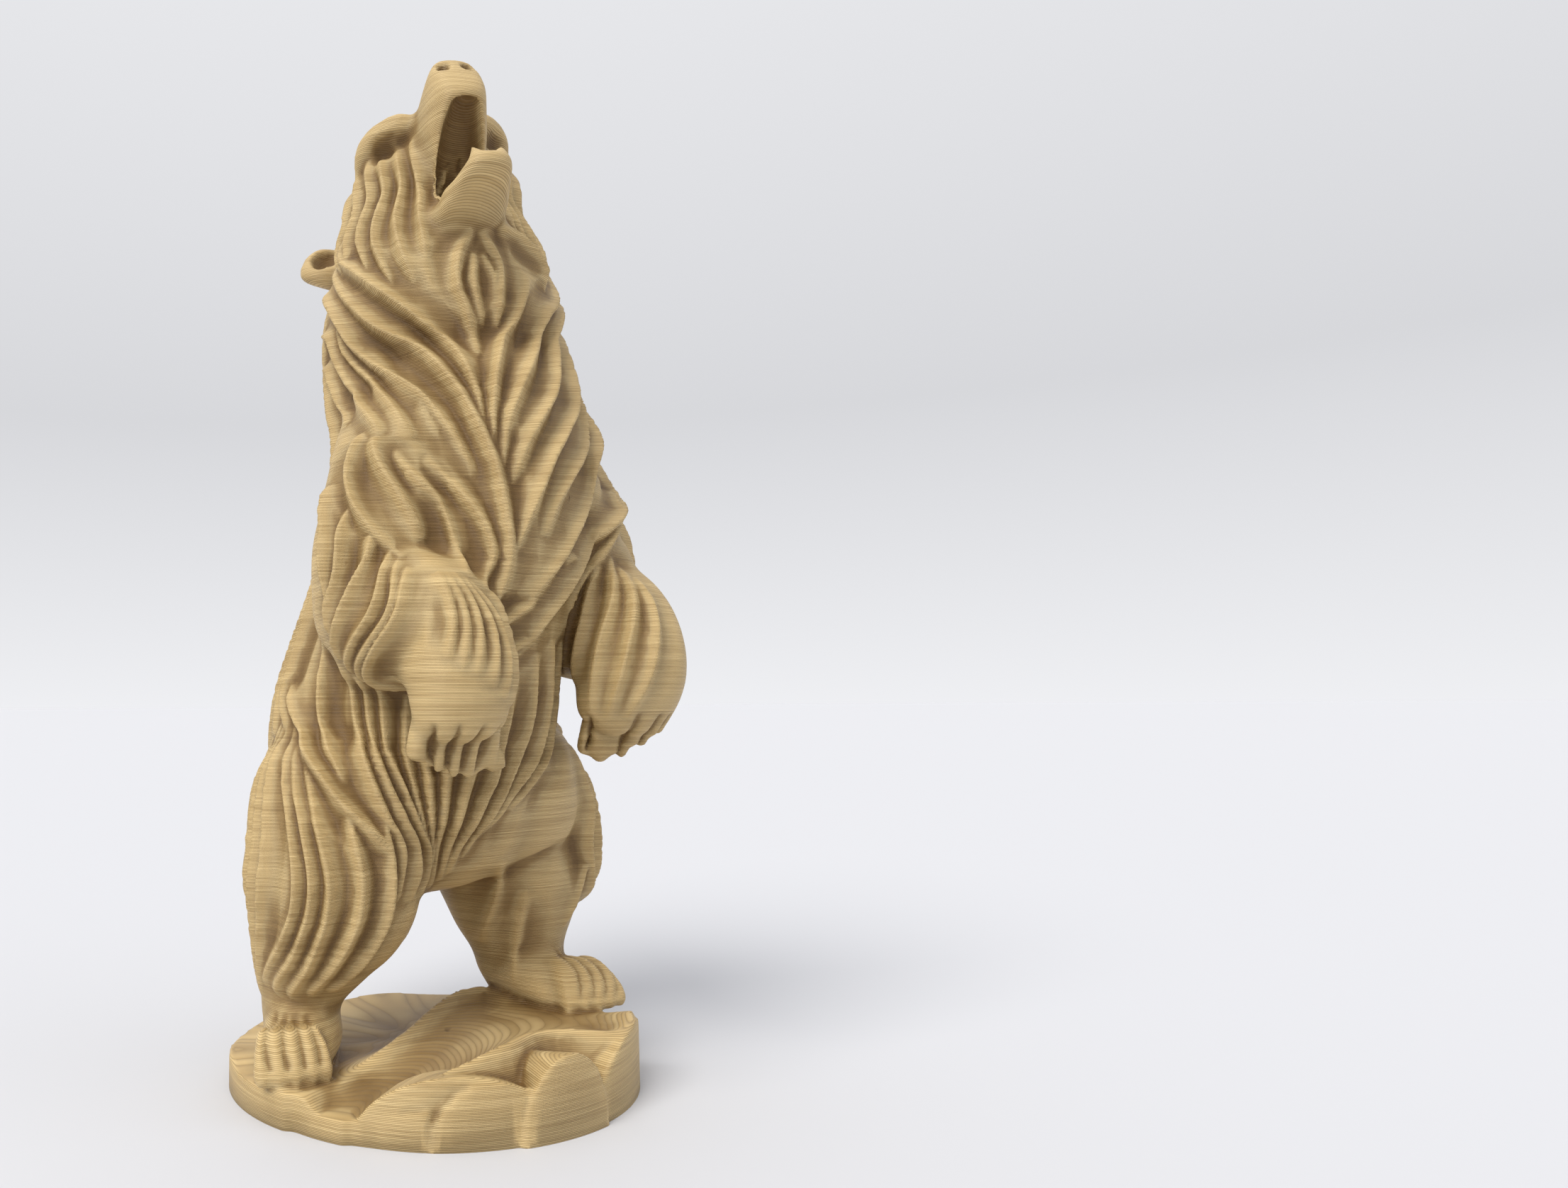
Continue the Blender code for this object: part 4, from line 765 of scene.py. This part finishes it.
def raise_crest(points, facing, spots, normals, height, width, lift):
    """Raise a thin crest with a hollow on each side, or cut a groove, fading out at both ends."""
    reach = width * CREST_REACH
    near = np.all((points > spots.min(0) - reach) & (points < spots.max(0) + reach), axis=1)
    tangent = np.gradient(spots, axis=0)
    tangent /= np.linalg.norm(tangent, axis=1)[:, None] + 1e-9
    chosen = np.nonzero(near)[0]
    for part in np.array_split(chosen, len(chosen) // POINTS_AT_ONCE + 1):
        gap = points[part][:, None, :] - spots[None]
        square = (gap**2).sum(2)
        best = square.argmin(1)
        rest = gap[np.arange(len(part)), best]
        for direction in (normals[best], tangent[best]):
            rest = rest - direction * (rest * direction).sum(1)[:, None]
        across = np.sqrt((rest**2).sum(1) + ROUNDING**2) - ROUNDING
        same_side = (facing[part] * normals[best]).sum(1) > FACING_LIMIT
        inside = same_side & (square[np.arange(len(part)), best] < reach**2)
        share = np.clip(best / (len(spots) - 1), 0.001, 0.999)
        fade = np.sin(np.pi * share) ** FADE_POWER * inside * height
        line = fade * np.exp(-across / (CREST_SLIMNESS * width))
        if height > 0:
            lift["crest"][part] = np.maximum(lift["crest"][part], line)
            soft = fade * np.sin(np.pi * share) ** FADE_POWER
            wide = soft * np.exp(-((across / (HOLLOW_REACH * width)) ** 4))
            lift["hollow"][part] = np.maximum(lift["hollow"][part], wide)
        else:
            lift["groove"][part] = np.minimum(lift["groove"][part], line)


def carve(body):
    """Move the body's vertices along their normals to cut the fur's crests and hollows."""
    count = len(body.data.vertices)
    points, facing = np.empty((2, count * 3), np.float32)
    body.data.vertices.foreach_get("co", points)
    body.data.vertices.foreach_get("normal", facing)
    points = points.reshape(-1, 3).astype(float)
    facing = facing.reshape(-1, 3).astype(float)
    form = bmesh.new()
    form.from_mesh(body.data)
    tree = BVHTree.FromBMesh(form)
    form.free()
    lift = {name: np.zeros(count) for name in ("crest", "hollow", "groove")}
    for region, number, height, width, guides in FAMILIES:
        for step in range(number):
            line = between(guides, step / max(1, number - 1))
            spots, normals = crest_line(tree, region, line)
            raise_crest(points, facing, spots, normals, height, width, lift)
    total = lift["crest"] - HOLLOW_SHARE * lift["hollow"] + lift["groove"]
    points += facing * (total * RELIEF)[:, None]
    body.data.vertices.foreach_set("co", points.astype(np.float32).ravel())
    body.data.update()


# Assembly
def stepped(stations):
    """Lower or raise the bottom of a leg or foot as far as the ledge under it."""
    top = max(row[2] for row in stations)
    low = min(row[2] for row in stations)
    return [(x, y, z + STEP * (top - z) / (top - low), *size) for x, y, z, *size in stations]


def body_masses():
    """The torso, head, arms, legs and feet."""
    limbs = [RIGHT_UPPER_ARM, RIGHT_FOREARM, LEFT_UPPER_ARM, LEFT_FOREARM, RIGHT_LEG, RIGHT_FOOT]
    masses = [swept_ball(TORSO, cap=0.1)]
    masses += [swept_ball(limb) for limb in limbs]
    left_foot = [(x, y, z + STEP, *size) for x, y, z, *size in LEFT_FOOT]
    masses += [swept_ball(stepped(LEFT_LEG)), swept_ball(left_foot)]
    masses += [head_ball(SKULL), head_ball(MUZZLE, squareness=0.7, cap=0.06)]
    return masses + [head_ball(JAW, squareness=0.8)]


def small_parts():
    """Fingers, toes, ears, canines and the prong in the jaw."""
    parts = fingers(RIGHT_KNUCKLES, RIGHT_FINGERS, RIGHT_FOLLOW)
    parts += fingers(LEFT_KNUCKLES, LEFT_FINGERS, LEFT_FOLLOW)
    parts += toes(*RIGHT_TOES) + toes(*LEFT_TOES)
    parts += both_sides(EAR, cap=0.25) + both_sides(BROW, cap=0.3) + both_sides(CANINE, cap=0.3)
    return parts + [head_ball(TONGUE, cap=0.3)]


def hollows():
    """Cutters for the mouth, the ears' cups, the eye sockets and the nostrils."""
    cutters = [head_ball(MOUTH, squareness=0.75)]
    for stations in (EAR_CUP, EYE, NOSTRIL):
        cutters += both_sides(stations, cap=0.35)
    return cutters


def cut_away(body, cutter):
    """Cut the cutter's shapes out of the body."""
    cut = body.modifiers.new("Cut", "BOOLEAN")
    cut.operation = "DIFFERENCE"
    cut.solver = "EXACT"
    cut.object = cutter
    apply_modifiers(body)


def fit_budget(body):
    """Ease the surface, reduce it to the triangle budget and close it flat underneath."""
    ease = body.modifiers.new("Ease", "SMOOTH")
    ease.factor = SOFTEN_FACTOR
    ease.iterations = EASE_ROUNDS
    reduce = body.modifiers.new("Reduce", "DECIMATE")
    reduce.ratio = min(1.0, TRIANGLE_BUDGET / (2 * len(body.data.polygons)))
    reduce.use_collapse_triangulate = True
    apply_modifiers(body)
    form = bmesh.new()
    form.from_mesh(body.data)
    everything = form.verts[:] + form.edges[:] + form.faces[:]
    cut = bmesh.ops.bisect_plane(
        form, geom=everything, plane_co=(0, 0, -LIFT), plane_no=(0, 0, -1), clear_outer=True)
    rim = [item for item in cut["geom_cut"] if isinstance(item, bmesh.types.BMEdge)]
    bmesh.ops.holes_fill(form, edges=rim, sides=0)
    bmesh.ops.triangulate(form, faces=form.faces[:])
    bmesh.ops.recalc_face_normals(form, faces=form.faces[:])
    form.to_mesh(body.data)
    form.free()


def mark_hollows(body):
    """Store how far each point lies below or above its surroundings, for the material's painted shade
    in the hollows and painted highlight on the crests.
    """
    mesh = body.data
    places, normals = np.zeros(len(mesh.vertices) * 3), np.zeros(len(mesh.vertices) * 3)
    mesh.vertices.foreach_get("co", places)
    mesh.vertices.foreach_get("normal", normals)
    places, normals = places.reshape(-1, 3), normals.reshape(-1, 3)
    pairs = np.zeros(len(mesh.edges) * 2, int)
    mesh.edges.foreach_get("vertices", pairs)
    first, second = pairs[0::2], pairs[1::2]
    near = np.bincount(pairs, minlength=len(places))[:, None]
    depth = np.zeros(len(places))
    smooth = places.copy()
    for step in range(HOLLOW_ROUNDS):
        total = np.stack([
            np.bincount(first, smooth[second, axis], len(places))
            + np.bincount(second, smooth[first, axis], len(places)) for axis in range(3)], 1)
        smooth = (1 - HOLLOW_SPREAD) * smooth + HOLLOW_SPREAD * total / near
        if step + 1 in HOLLOW_SCALES:
            depth += ((smooth - places) * normals).sum(1)
    layer = mesh.attributes.new("hollow", "FLOAT", "POINT")
    layer.data.foreach_set("value", np.clip(0.5 + depth / HOLLOW_DEPTH, 0, 1))


# Camera of the left-hand picture: place in metres, turn, pitch and roll in degrees, then focal
# length and the shift to the frame's left half, both as shares of the frame's width
SENSOR = 36
CAMERA_PLACE = (-0.0557, -0.1713, 0.0566)
CAMERA_TURN, CAMERA_PITCH, CAMERA_ROLL = -16.69, 5.52, -0.35
CAMERA_FOCUS = 0.722
CAMERA_SHIFT = 0.2428

# Painted highlight on a crest (low) to painted shade in a hollow (high), laid over the plastic
CREST_HIGHLIGHT_HOLLOW_SHADE = (
    (0.2, (1.2, 1.18, 1.14)), (0.46, (1.0, 1.0, 1.0)), (0.66, (0.66, 0.59, 0.49)),
    (0.95, (0.33, 0.25, 0.16)))

# The plastic's pattern: how finely each noise varies, and how much each adds to the bead's relief
WANDER_SCALE, WANDER_SHARE = 160, 0.2
BEAD_ROUNDNESS, BEAD_RISE = 0.6, 0.4
STREAK_SCALE, STREAK_STEP, STREAK_RELIEF = 55, 1.37, 2.2
GRAIN_SCALE, GRAIN_RELIEF = 1500, 0.4
BAND_SCALE, BAND_STRETCH = 300, (0.08, 0.08, 1)
DARKEST, LIGHTEST = 0.36, 0.64
ROUGHNESS_SPREAD, ROUGHNESS_DROP = 0.25, 0.12
SPECULAR = 0.45

# Lights: place in metres, spread in degrees and colour; both shine at the middle of the statue
KEY = ((-0.42, -0.30, 0.56), 34, (1, 0.98, 0.94))
FILL = ((0.45, -0.35, 0.30), 60, (0.95, 0.97, 1))
LIT_PLACE = (0, 0, 0.08)
FLOOR_ROUGHNESS = 0.7

# Backdrop brightness by the rise of the view: the horizon, a slightly darker band, the top
SKY_TONES = ((0.5, (0.86, 0.865, 0.89)), (0.62, (0.68, 0.685, 0.71)), (0.78, (0.80, 0.805, 0.83)))


# Material
def maths(tree, operation, first, second=None):
    """A maths node fed by a node output, with a number or another output as its second value."""
    node = tree.nodes.new("ShaderNodeMath")
    node.operation = operation
    tree.links.new(first, node.inputs[0])
    if isinstance(second, (int, float)):
        node.inputs[1].default_value = second
    elif second is not None:
        tree.links.new(second, node.inputs[1])
    return node.outputs[0]


def stretched_noise(tree, places, stretch, scale, detail):
    """Noise on the object's own coordinates, stretched by a share along x, y and z."""
    mapping = tree.nodes.new("ShaderNodeMapping")
    mapping.inputs["Scale"].default_value = stretch
    tree.links.new(places, mapping.inputs["Vector"])
    noise = tree.nodes.new("ShaderNodeTexNoise")
    noise.inputs["Scale"].default_value = scale
    noise.inputs["Detail"].default_value = detail
    tree.links.new(mapping.outputs["Vector"], noise.inputs["Vector"])
    return noise.outputs["Fac"]


def ramp(tree, value, stops):
    """A colour that follows a value through stops of (position, colour)."""
    node = tree.nodes.new("ShaderNodeValToRGB")
    steps = node.color_ramp.elements
    while len(steps) < len(stops):
        steps.new(0.5)
    for step, (position, colour) in zip(steps, stops):
        step.position = position
        step.color = (*colour, 1)
    tree.links.new(value, node.inputs["Fac"])
    return node.outputs["Color"]


def blended(tree, first, second, kind, share):
    """Two colours mixed; share is a number or a node output."""
    node = tree.nodes.new("ShaderNodeMix")
    node.data_type = "RGBA"
    node.blend_type = kind
    tree.links.new(first, node.inputs["A"])
    if second is not None:
        tree.links.new(second, node.inputs["B"])
    if isinstance(share, (int, float)):
        node.inputs["Factor"].default_value = share
    else:
        tree.links.new(share, node.inputs["Factor"])
    return node.outputs["Result"]


def printed_plastic(finish):
    """Wood-brown plastic laid down in thin level layers, with painted shade in its hollows and layer
    grooves and a painted highlight on its crests.
    """
    material = bpy.data.materials.new("wood_brown_plastic")
    material.use_nodes = True
    tree = material.node_tree
    shader = tree.nodes["Principled BSDF"]
    places = tree.nodes.new("ShaderNodeTexCoord").outputs["Object"]
    split = tree.nodes.new("ShaderNodeSeparateXYZ")
    tree.links.new(places, split.inputs[0])
    height = split.outputs["Z"]

    # Each layer is a rounded bead; its phase wanders a little along the surface
    wander = stretched_noise(tree, places, (1, 1, 1), WANDER_SCALE, 2)
    layers = maths(tree, "MULTIPLY", height, 1 / finish.layer_height)
    layers = maths(tree, "ADD", layers, maths(tree, "MULTIPLY", wander, WANDER_SHARE))
    bead = maths(tree, "ABSOLUTE", maths(tree, "SINE", maths(tree, "MULTIPLY", layers, math.pi)))
    bead = maths(tree, "POWER", bead, BEAD_ROUNDNESS)

    # Uneven extrusion: every layer differs a little from the next, slowly changing along its length
    number = maths(tree, "FLOOR", layers)
    bead_run = tree.nodes.new("ShaderNodeCombineXYZ")
    tree.links.new(maths(tree, "MULTIPLY", split.outputs["X"], STREAK_SCALE), bead_run.inputs["X"])
    tree.links.new(maths(tree, "MULTIPLY", split.outputs["Y"], STREAK_SCALE), bead_run.inputs["Y"])
    tree.links.new(maths(tree, "MULTIPLY", number, STREAK_STEP), bead_run.inputs["Z"])
    streaks = stretched_noise(tree, bead_run.outputs["Vector"], (1, 1, 1), 1, 2)
    grain = stretched_noise(tree, places, (1, 1, 1), GRAIN_SCALE, 3)
    relief = maths(tree, "ADD", bead, maths(tree, "MULTIPLY", streaks, STREAK_RELIEF))
    relief = maths(tree, "ADD", relief, maths(tree, "MULTIPLY", grain, GRAIN_RELIEF))
    bump = tree.nodes.new("ShaderNodeBump")
    bump.inputs["Strength"].default_value = finish.layer_depth
    bump.inputs["Distance"].default_value = finish.layer_height * BEAD_RISE
    tree.links.new(relief, bump.inputs["Height"])
    tree.links.new(bump.outputs["Normal"], shader.inputs["Normal"])

    # Colour: level bands from the filament, painted shade in the hollows and a painted highlight on
    # the crests, and painted shade as thin darker lines in the grooves between the layers
    bands = stretched_noise(tree, places, BAND_STRETCH, BAND_SCALE, 3)
    bands = maths(tree, "ADD", bands, maths(tree, "MULTIPLY", streaks, 2))
    bands = maths(tree, "MULTIPLY", bands, 1 / 3)
    plastic = ramp(tree, bands, ((DARKEST, finish.dark), (LIGHTEST, finish.light)))
    # Painted shade in the hollows and painted highlight on the crests, from the stored depth
    hollow = tree.nodes.new("ShaderNodeAttribute")
    hollow.attribute_name = "hollow"
    painted_light = ramp(tree, hollow.outputs["Fac"], CREST_HIGHLIGHT_HOLLOW_SHADE)
    with_painted_light = blended(tree, plastic, painted_light, "MULTIPLY", 1.0)
    # Painted shade as thin darker lines in the grooves between the layers
    seam = maths(tree, "MULTIPLY", maths(tree, "SUBTRACT", bead, 1), -finish.groove_shade_strength)
    groove_shaded = blended(tree, with_painted_light, None, "MIX", seam)
    groove_shaded.node.inputs["B"].default_value = (*finish.seam, 1)
    tree.links.new(groove_shaded, shader.inputs["Base Color"])
    rough = maths(tree, "MULTIPLY", streaks, ROUGHNESS_SPREAD)
    rough = maths(tree, "ADD", rough, finish.roughness - ROUGHNESS_DROP)
    tree.links.new(rough, shader.inputs["Roughness"])
    shader.inputs["Metallic"].default_value = 0
    shader.inputs["Specular IOR Level"].default_value = SPECULAR
    return material


# Settings
class BearFinish(bpy.types.PropertyGroup):
    """Colours and surface of the printed plastic, with the painted shade in its layer grooves."""

    light: bpy.props.FloatVectorProperty(
        name="Light band", description="Colour of the plastic's lighter bands",
        subtype="COLOR", size=3, min=0, max=1, default=(0.54, 0.405, 0.20))
    dark: bpy.props.FloatVectorProperty(
        name="Dark band", description="Colour of the plastic's darker bands",
        subtype="COLOR", size=3, min=0, max=1, default=(0.36, 0.25, 0.108))
    # Painted shade in the grooves between layers: its colour, then its strength
    seam: bpy.props.FloatVectorProperty(
        name="Seam", description="Colour in the grooves between layers",
        subtype="COLOR", size=3, min=0, max=1, default=(0.20, 0.125, 0.045))
    groove_shade_strength: bpy.props.FloatProperty(
        name="Seam shade", description="How much darker the grooves between layers are",
        min=0, max=1, default=0.55)
    roughness: bpy.props.FloatProperty(
        name="Roughness", description="Roughness of the plastic", min=0, max=1, default=0.55)
    layer_height: bpy.props.FloatProperty(
        name="Layer height", description="Height of one printed layer",
        unit="LENGTH", precision=5, default=LAYER_HEIGHT)
    layer_depth: bpy.props.FloatProperty(
        name="Layer depth", description="How strongly the layers show", min=0, max=1, default=0.9)


class BearStage(bpy.types.PropertyGroup):
    """Floor, sky and lights."""

    floor_colour: bpy.props.FloatVectorProperty(
        name="Floor", description="Colour of the floor and backdrop",
        subtype="COLOR", size=3, min=0, max=1, default=(0.605, 0.61, 0.635))
    floor_size: bpy.props.FloatProperty(
        name="Floor size", description="Half the width of the floor", unit="LENGTH", default=20)
    key_light: bpy.props.FloatProperty(
        name="Key light", description="Strength of the main light", default=2.8)
    fill_light: bpy.props.FloatProperty(
        name="Fill light", description="Strength of the fill light", default=0.3)
    sky: bpy.props.FloatProperty(
        name="Sky", description="Strength of the even light all round", default=1.0)


# Operators
class BEAR_OT_statue(bpy.types.Operator):
    """Build the bear and its rock as one surface in place of the plain solid"""

    bl_idname = "bear.statue"
    bl_label = "Bear statue"

    def execute(self, context):
        body = mesh_object(body_masses(), "bear_and_rock")
        context.scene.collection.objects.link(body)
        blend(body, BLEND_VOXEL, BODY_ROUNDS)
        add_shapes(body, small_parts())
        blend(body, PARTS_VOXEL, PARTS_ROUNDS)
        cutter = mesh_object(hollows(), "hollows")
        context.scene.collection.objects.link(cutter)
        cut_away(body, cutter)
        bpy.data.objects.remove(cutter)
        add_shapes(body, [rock_plate()] + [rock_dome(*dome) for dome in DOMES])
        blend(body, SURFACE_VOXEL, SURFACE_ROUNDS)
        carve(body)
        fit_budget(body)
        mark_hollows(body)
        body.data.transform(Matrix.Diagonal((UNIT, UNIT, UNIT, 1)) @ Matrix.Translation((0, 0, LIFT)))
        body.data.materials.append(printed_plastic(context.scene.bear_finish))
        for face in body.data.polygons:
            face.use_smooth = True
        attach(body, "root")
        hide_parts("bear_statue")
        return {"FINISHED"}


def soft_light(scene, name, strength, place, spread, colour):
    """A wide, even light that shines from a place towards the statue."""
    lamp = bpy.data.lights.new(name, "SUN")
    lamp.angle = math.radians(spread)
    lamp.energy = strength
    lamp.color = colour
    light = bpy.data.objects.new(name, lamp)
    light.location = place
    light.rotation_euler = (Vector(LIT_PLACE) - Vector(place)).to_track_quat("-Z", "Y").to_euler()
    scene.collection.objects.link(light)


class BEAR_OT_stage(bpy.types.Operator):
    """Lay the floor, set the lights and place the camera"""

    bl_idname = "bear.stage"
    bl_label = "Stage"

    def execute(self, context):
        scene = context.scene
        settings = scene.bear_stage
        floor = bmesh.new()
        bmesh.ops.create_grid(floor, x_segments=1, y_segments=1, size=settings.floor_size)
        mesh = bpy.data.meshes.new("floor")
        floor.to_mesh(mesh)
        floor.free()
        ground = bpy.data.objects.new("floor", mesh)
        scene.collection.objects.link(ground)
        paper = bpy.data.materials.new("pale_floor")
        paper.use_nodes = True
        shader = paper.node_tree.nodes["Principled BSDF"]
        shader.inputs["Base Color"].default_value = (*settings.floor_colour, 1)
        shader.inputs["Roughness"].default_value = FLOOR_ROUGHNESS
        mesh.materials.append(paper)

        world = bpy.data.worlds.new("studio")
        world.use_nodes = True
        tree = world.node_tree
        sky = tree.nodes["Background"]
        direction = tree.nodes.new("ShaderNodeTexCoord").outputs["Generated"]
        split = tree.nodes.new("ShaderNodeSeparateXYZ")
        tree.links.new(direction, split.inputs[0])
        rise = maths(tree, "ADD", maths(tree, "MULTIPLY", split.outputs["Z"], 0.5), 0.5)
        tree.links.new(ramp(tree, rise, SKY_TONES), sky.inputs["Color"])
        sky.inputs["Strength"].default_value = settings.sky
        scene.world = world
        soft_light(scene, "key", settings.key_light, *KEY)
        soft_light(scene, "fill", settings.fill_light, *FILL)

        lens = bpy.data.cameras.new("camera")
        lens.sensor_width = SENSOR
        lens.lens = SENSOR * CAMERA_FOCUS
        lens.shift_x = CAMERA_SHIFT
        lens.clip_start = 0.01
        camera = bpy.data.objects.new("camera", lens)
        turn = Matrix.Rotation(math.radians(CAMERA_TURN), 4, "Z")
        pitch = Matrix.Rotation(math.radians(90 + CAMERA_PITCH), 4, "X")
        roll = Matrix.Rotation(math.radians(CAMERA_ROLL), 4, "Z")
        camera.matrix_world = Matrix.Translation(CAMERA_PLACE) @ turn @ pitch @ roll
        scene.collection.objects.link(camera)
        scene.camera = camera
        scene.view_settings.view_transform = "Standard"
        return {"FINISHED"}


class BEAR_PT_tools(bpy.types.Panel):
    """Buttons and settings for the statue"""

    bl_idname = "BEAR_PT_tools"
    bl_label = "Bear statue"
    bl_space_type = "VIEW_3D"
    bl_region_type = "UI"
    bl_category = "Bear"

    def draw(self, context):
        for settings in (context.scene.bear_finish, context.scene.bear_stage):
            for name in settings.__annotations__:
                self.layout.prop(settings, name)
        self.layout.operator(BEAR_OT_statue.bl_idname)
        self.layout.operator(BEAR_OT_stage.bl_idname)


CLASSES = (BearFinish, BearStage, BEAR_OT_statue, BEAR_OT_stage, BEAR_PT_tools)


def register():
    for item in CLASSES:
        bpy.utils.register_class(item)
    bpy.types.Scene.bear_finish = bpy.props.PointerProperty(type=BearFinish)
    bpy.types.Scene.bear_stage = bpy.props.PointerProperty(type=BearStage)


def unregister():
    del bpy.types.Scene.bear_stage
    del bpy.types.Scene.bear_finish
    for item in reversed(CLASSES):
        bpy.utils.unregister_class(item)


def main():
    register()
    bpy.ops.bear.statue()
    bpy.ops.bear.stage()


if __name__ == "__main__":
    main()
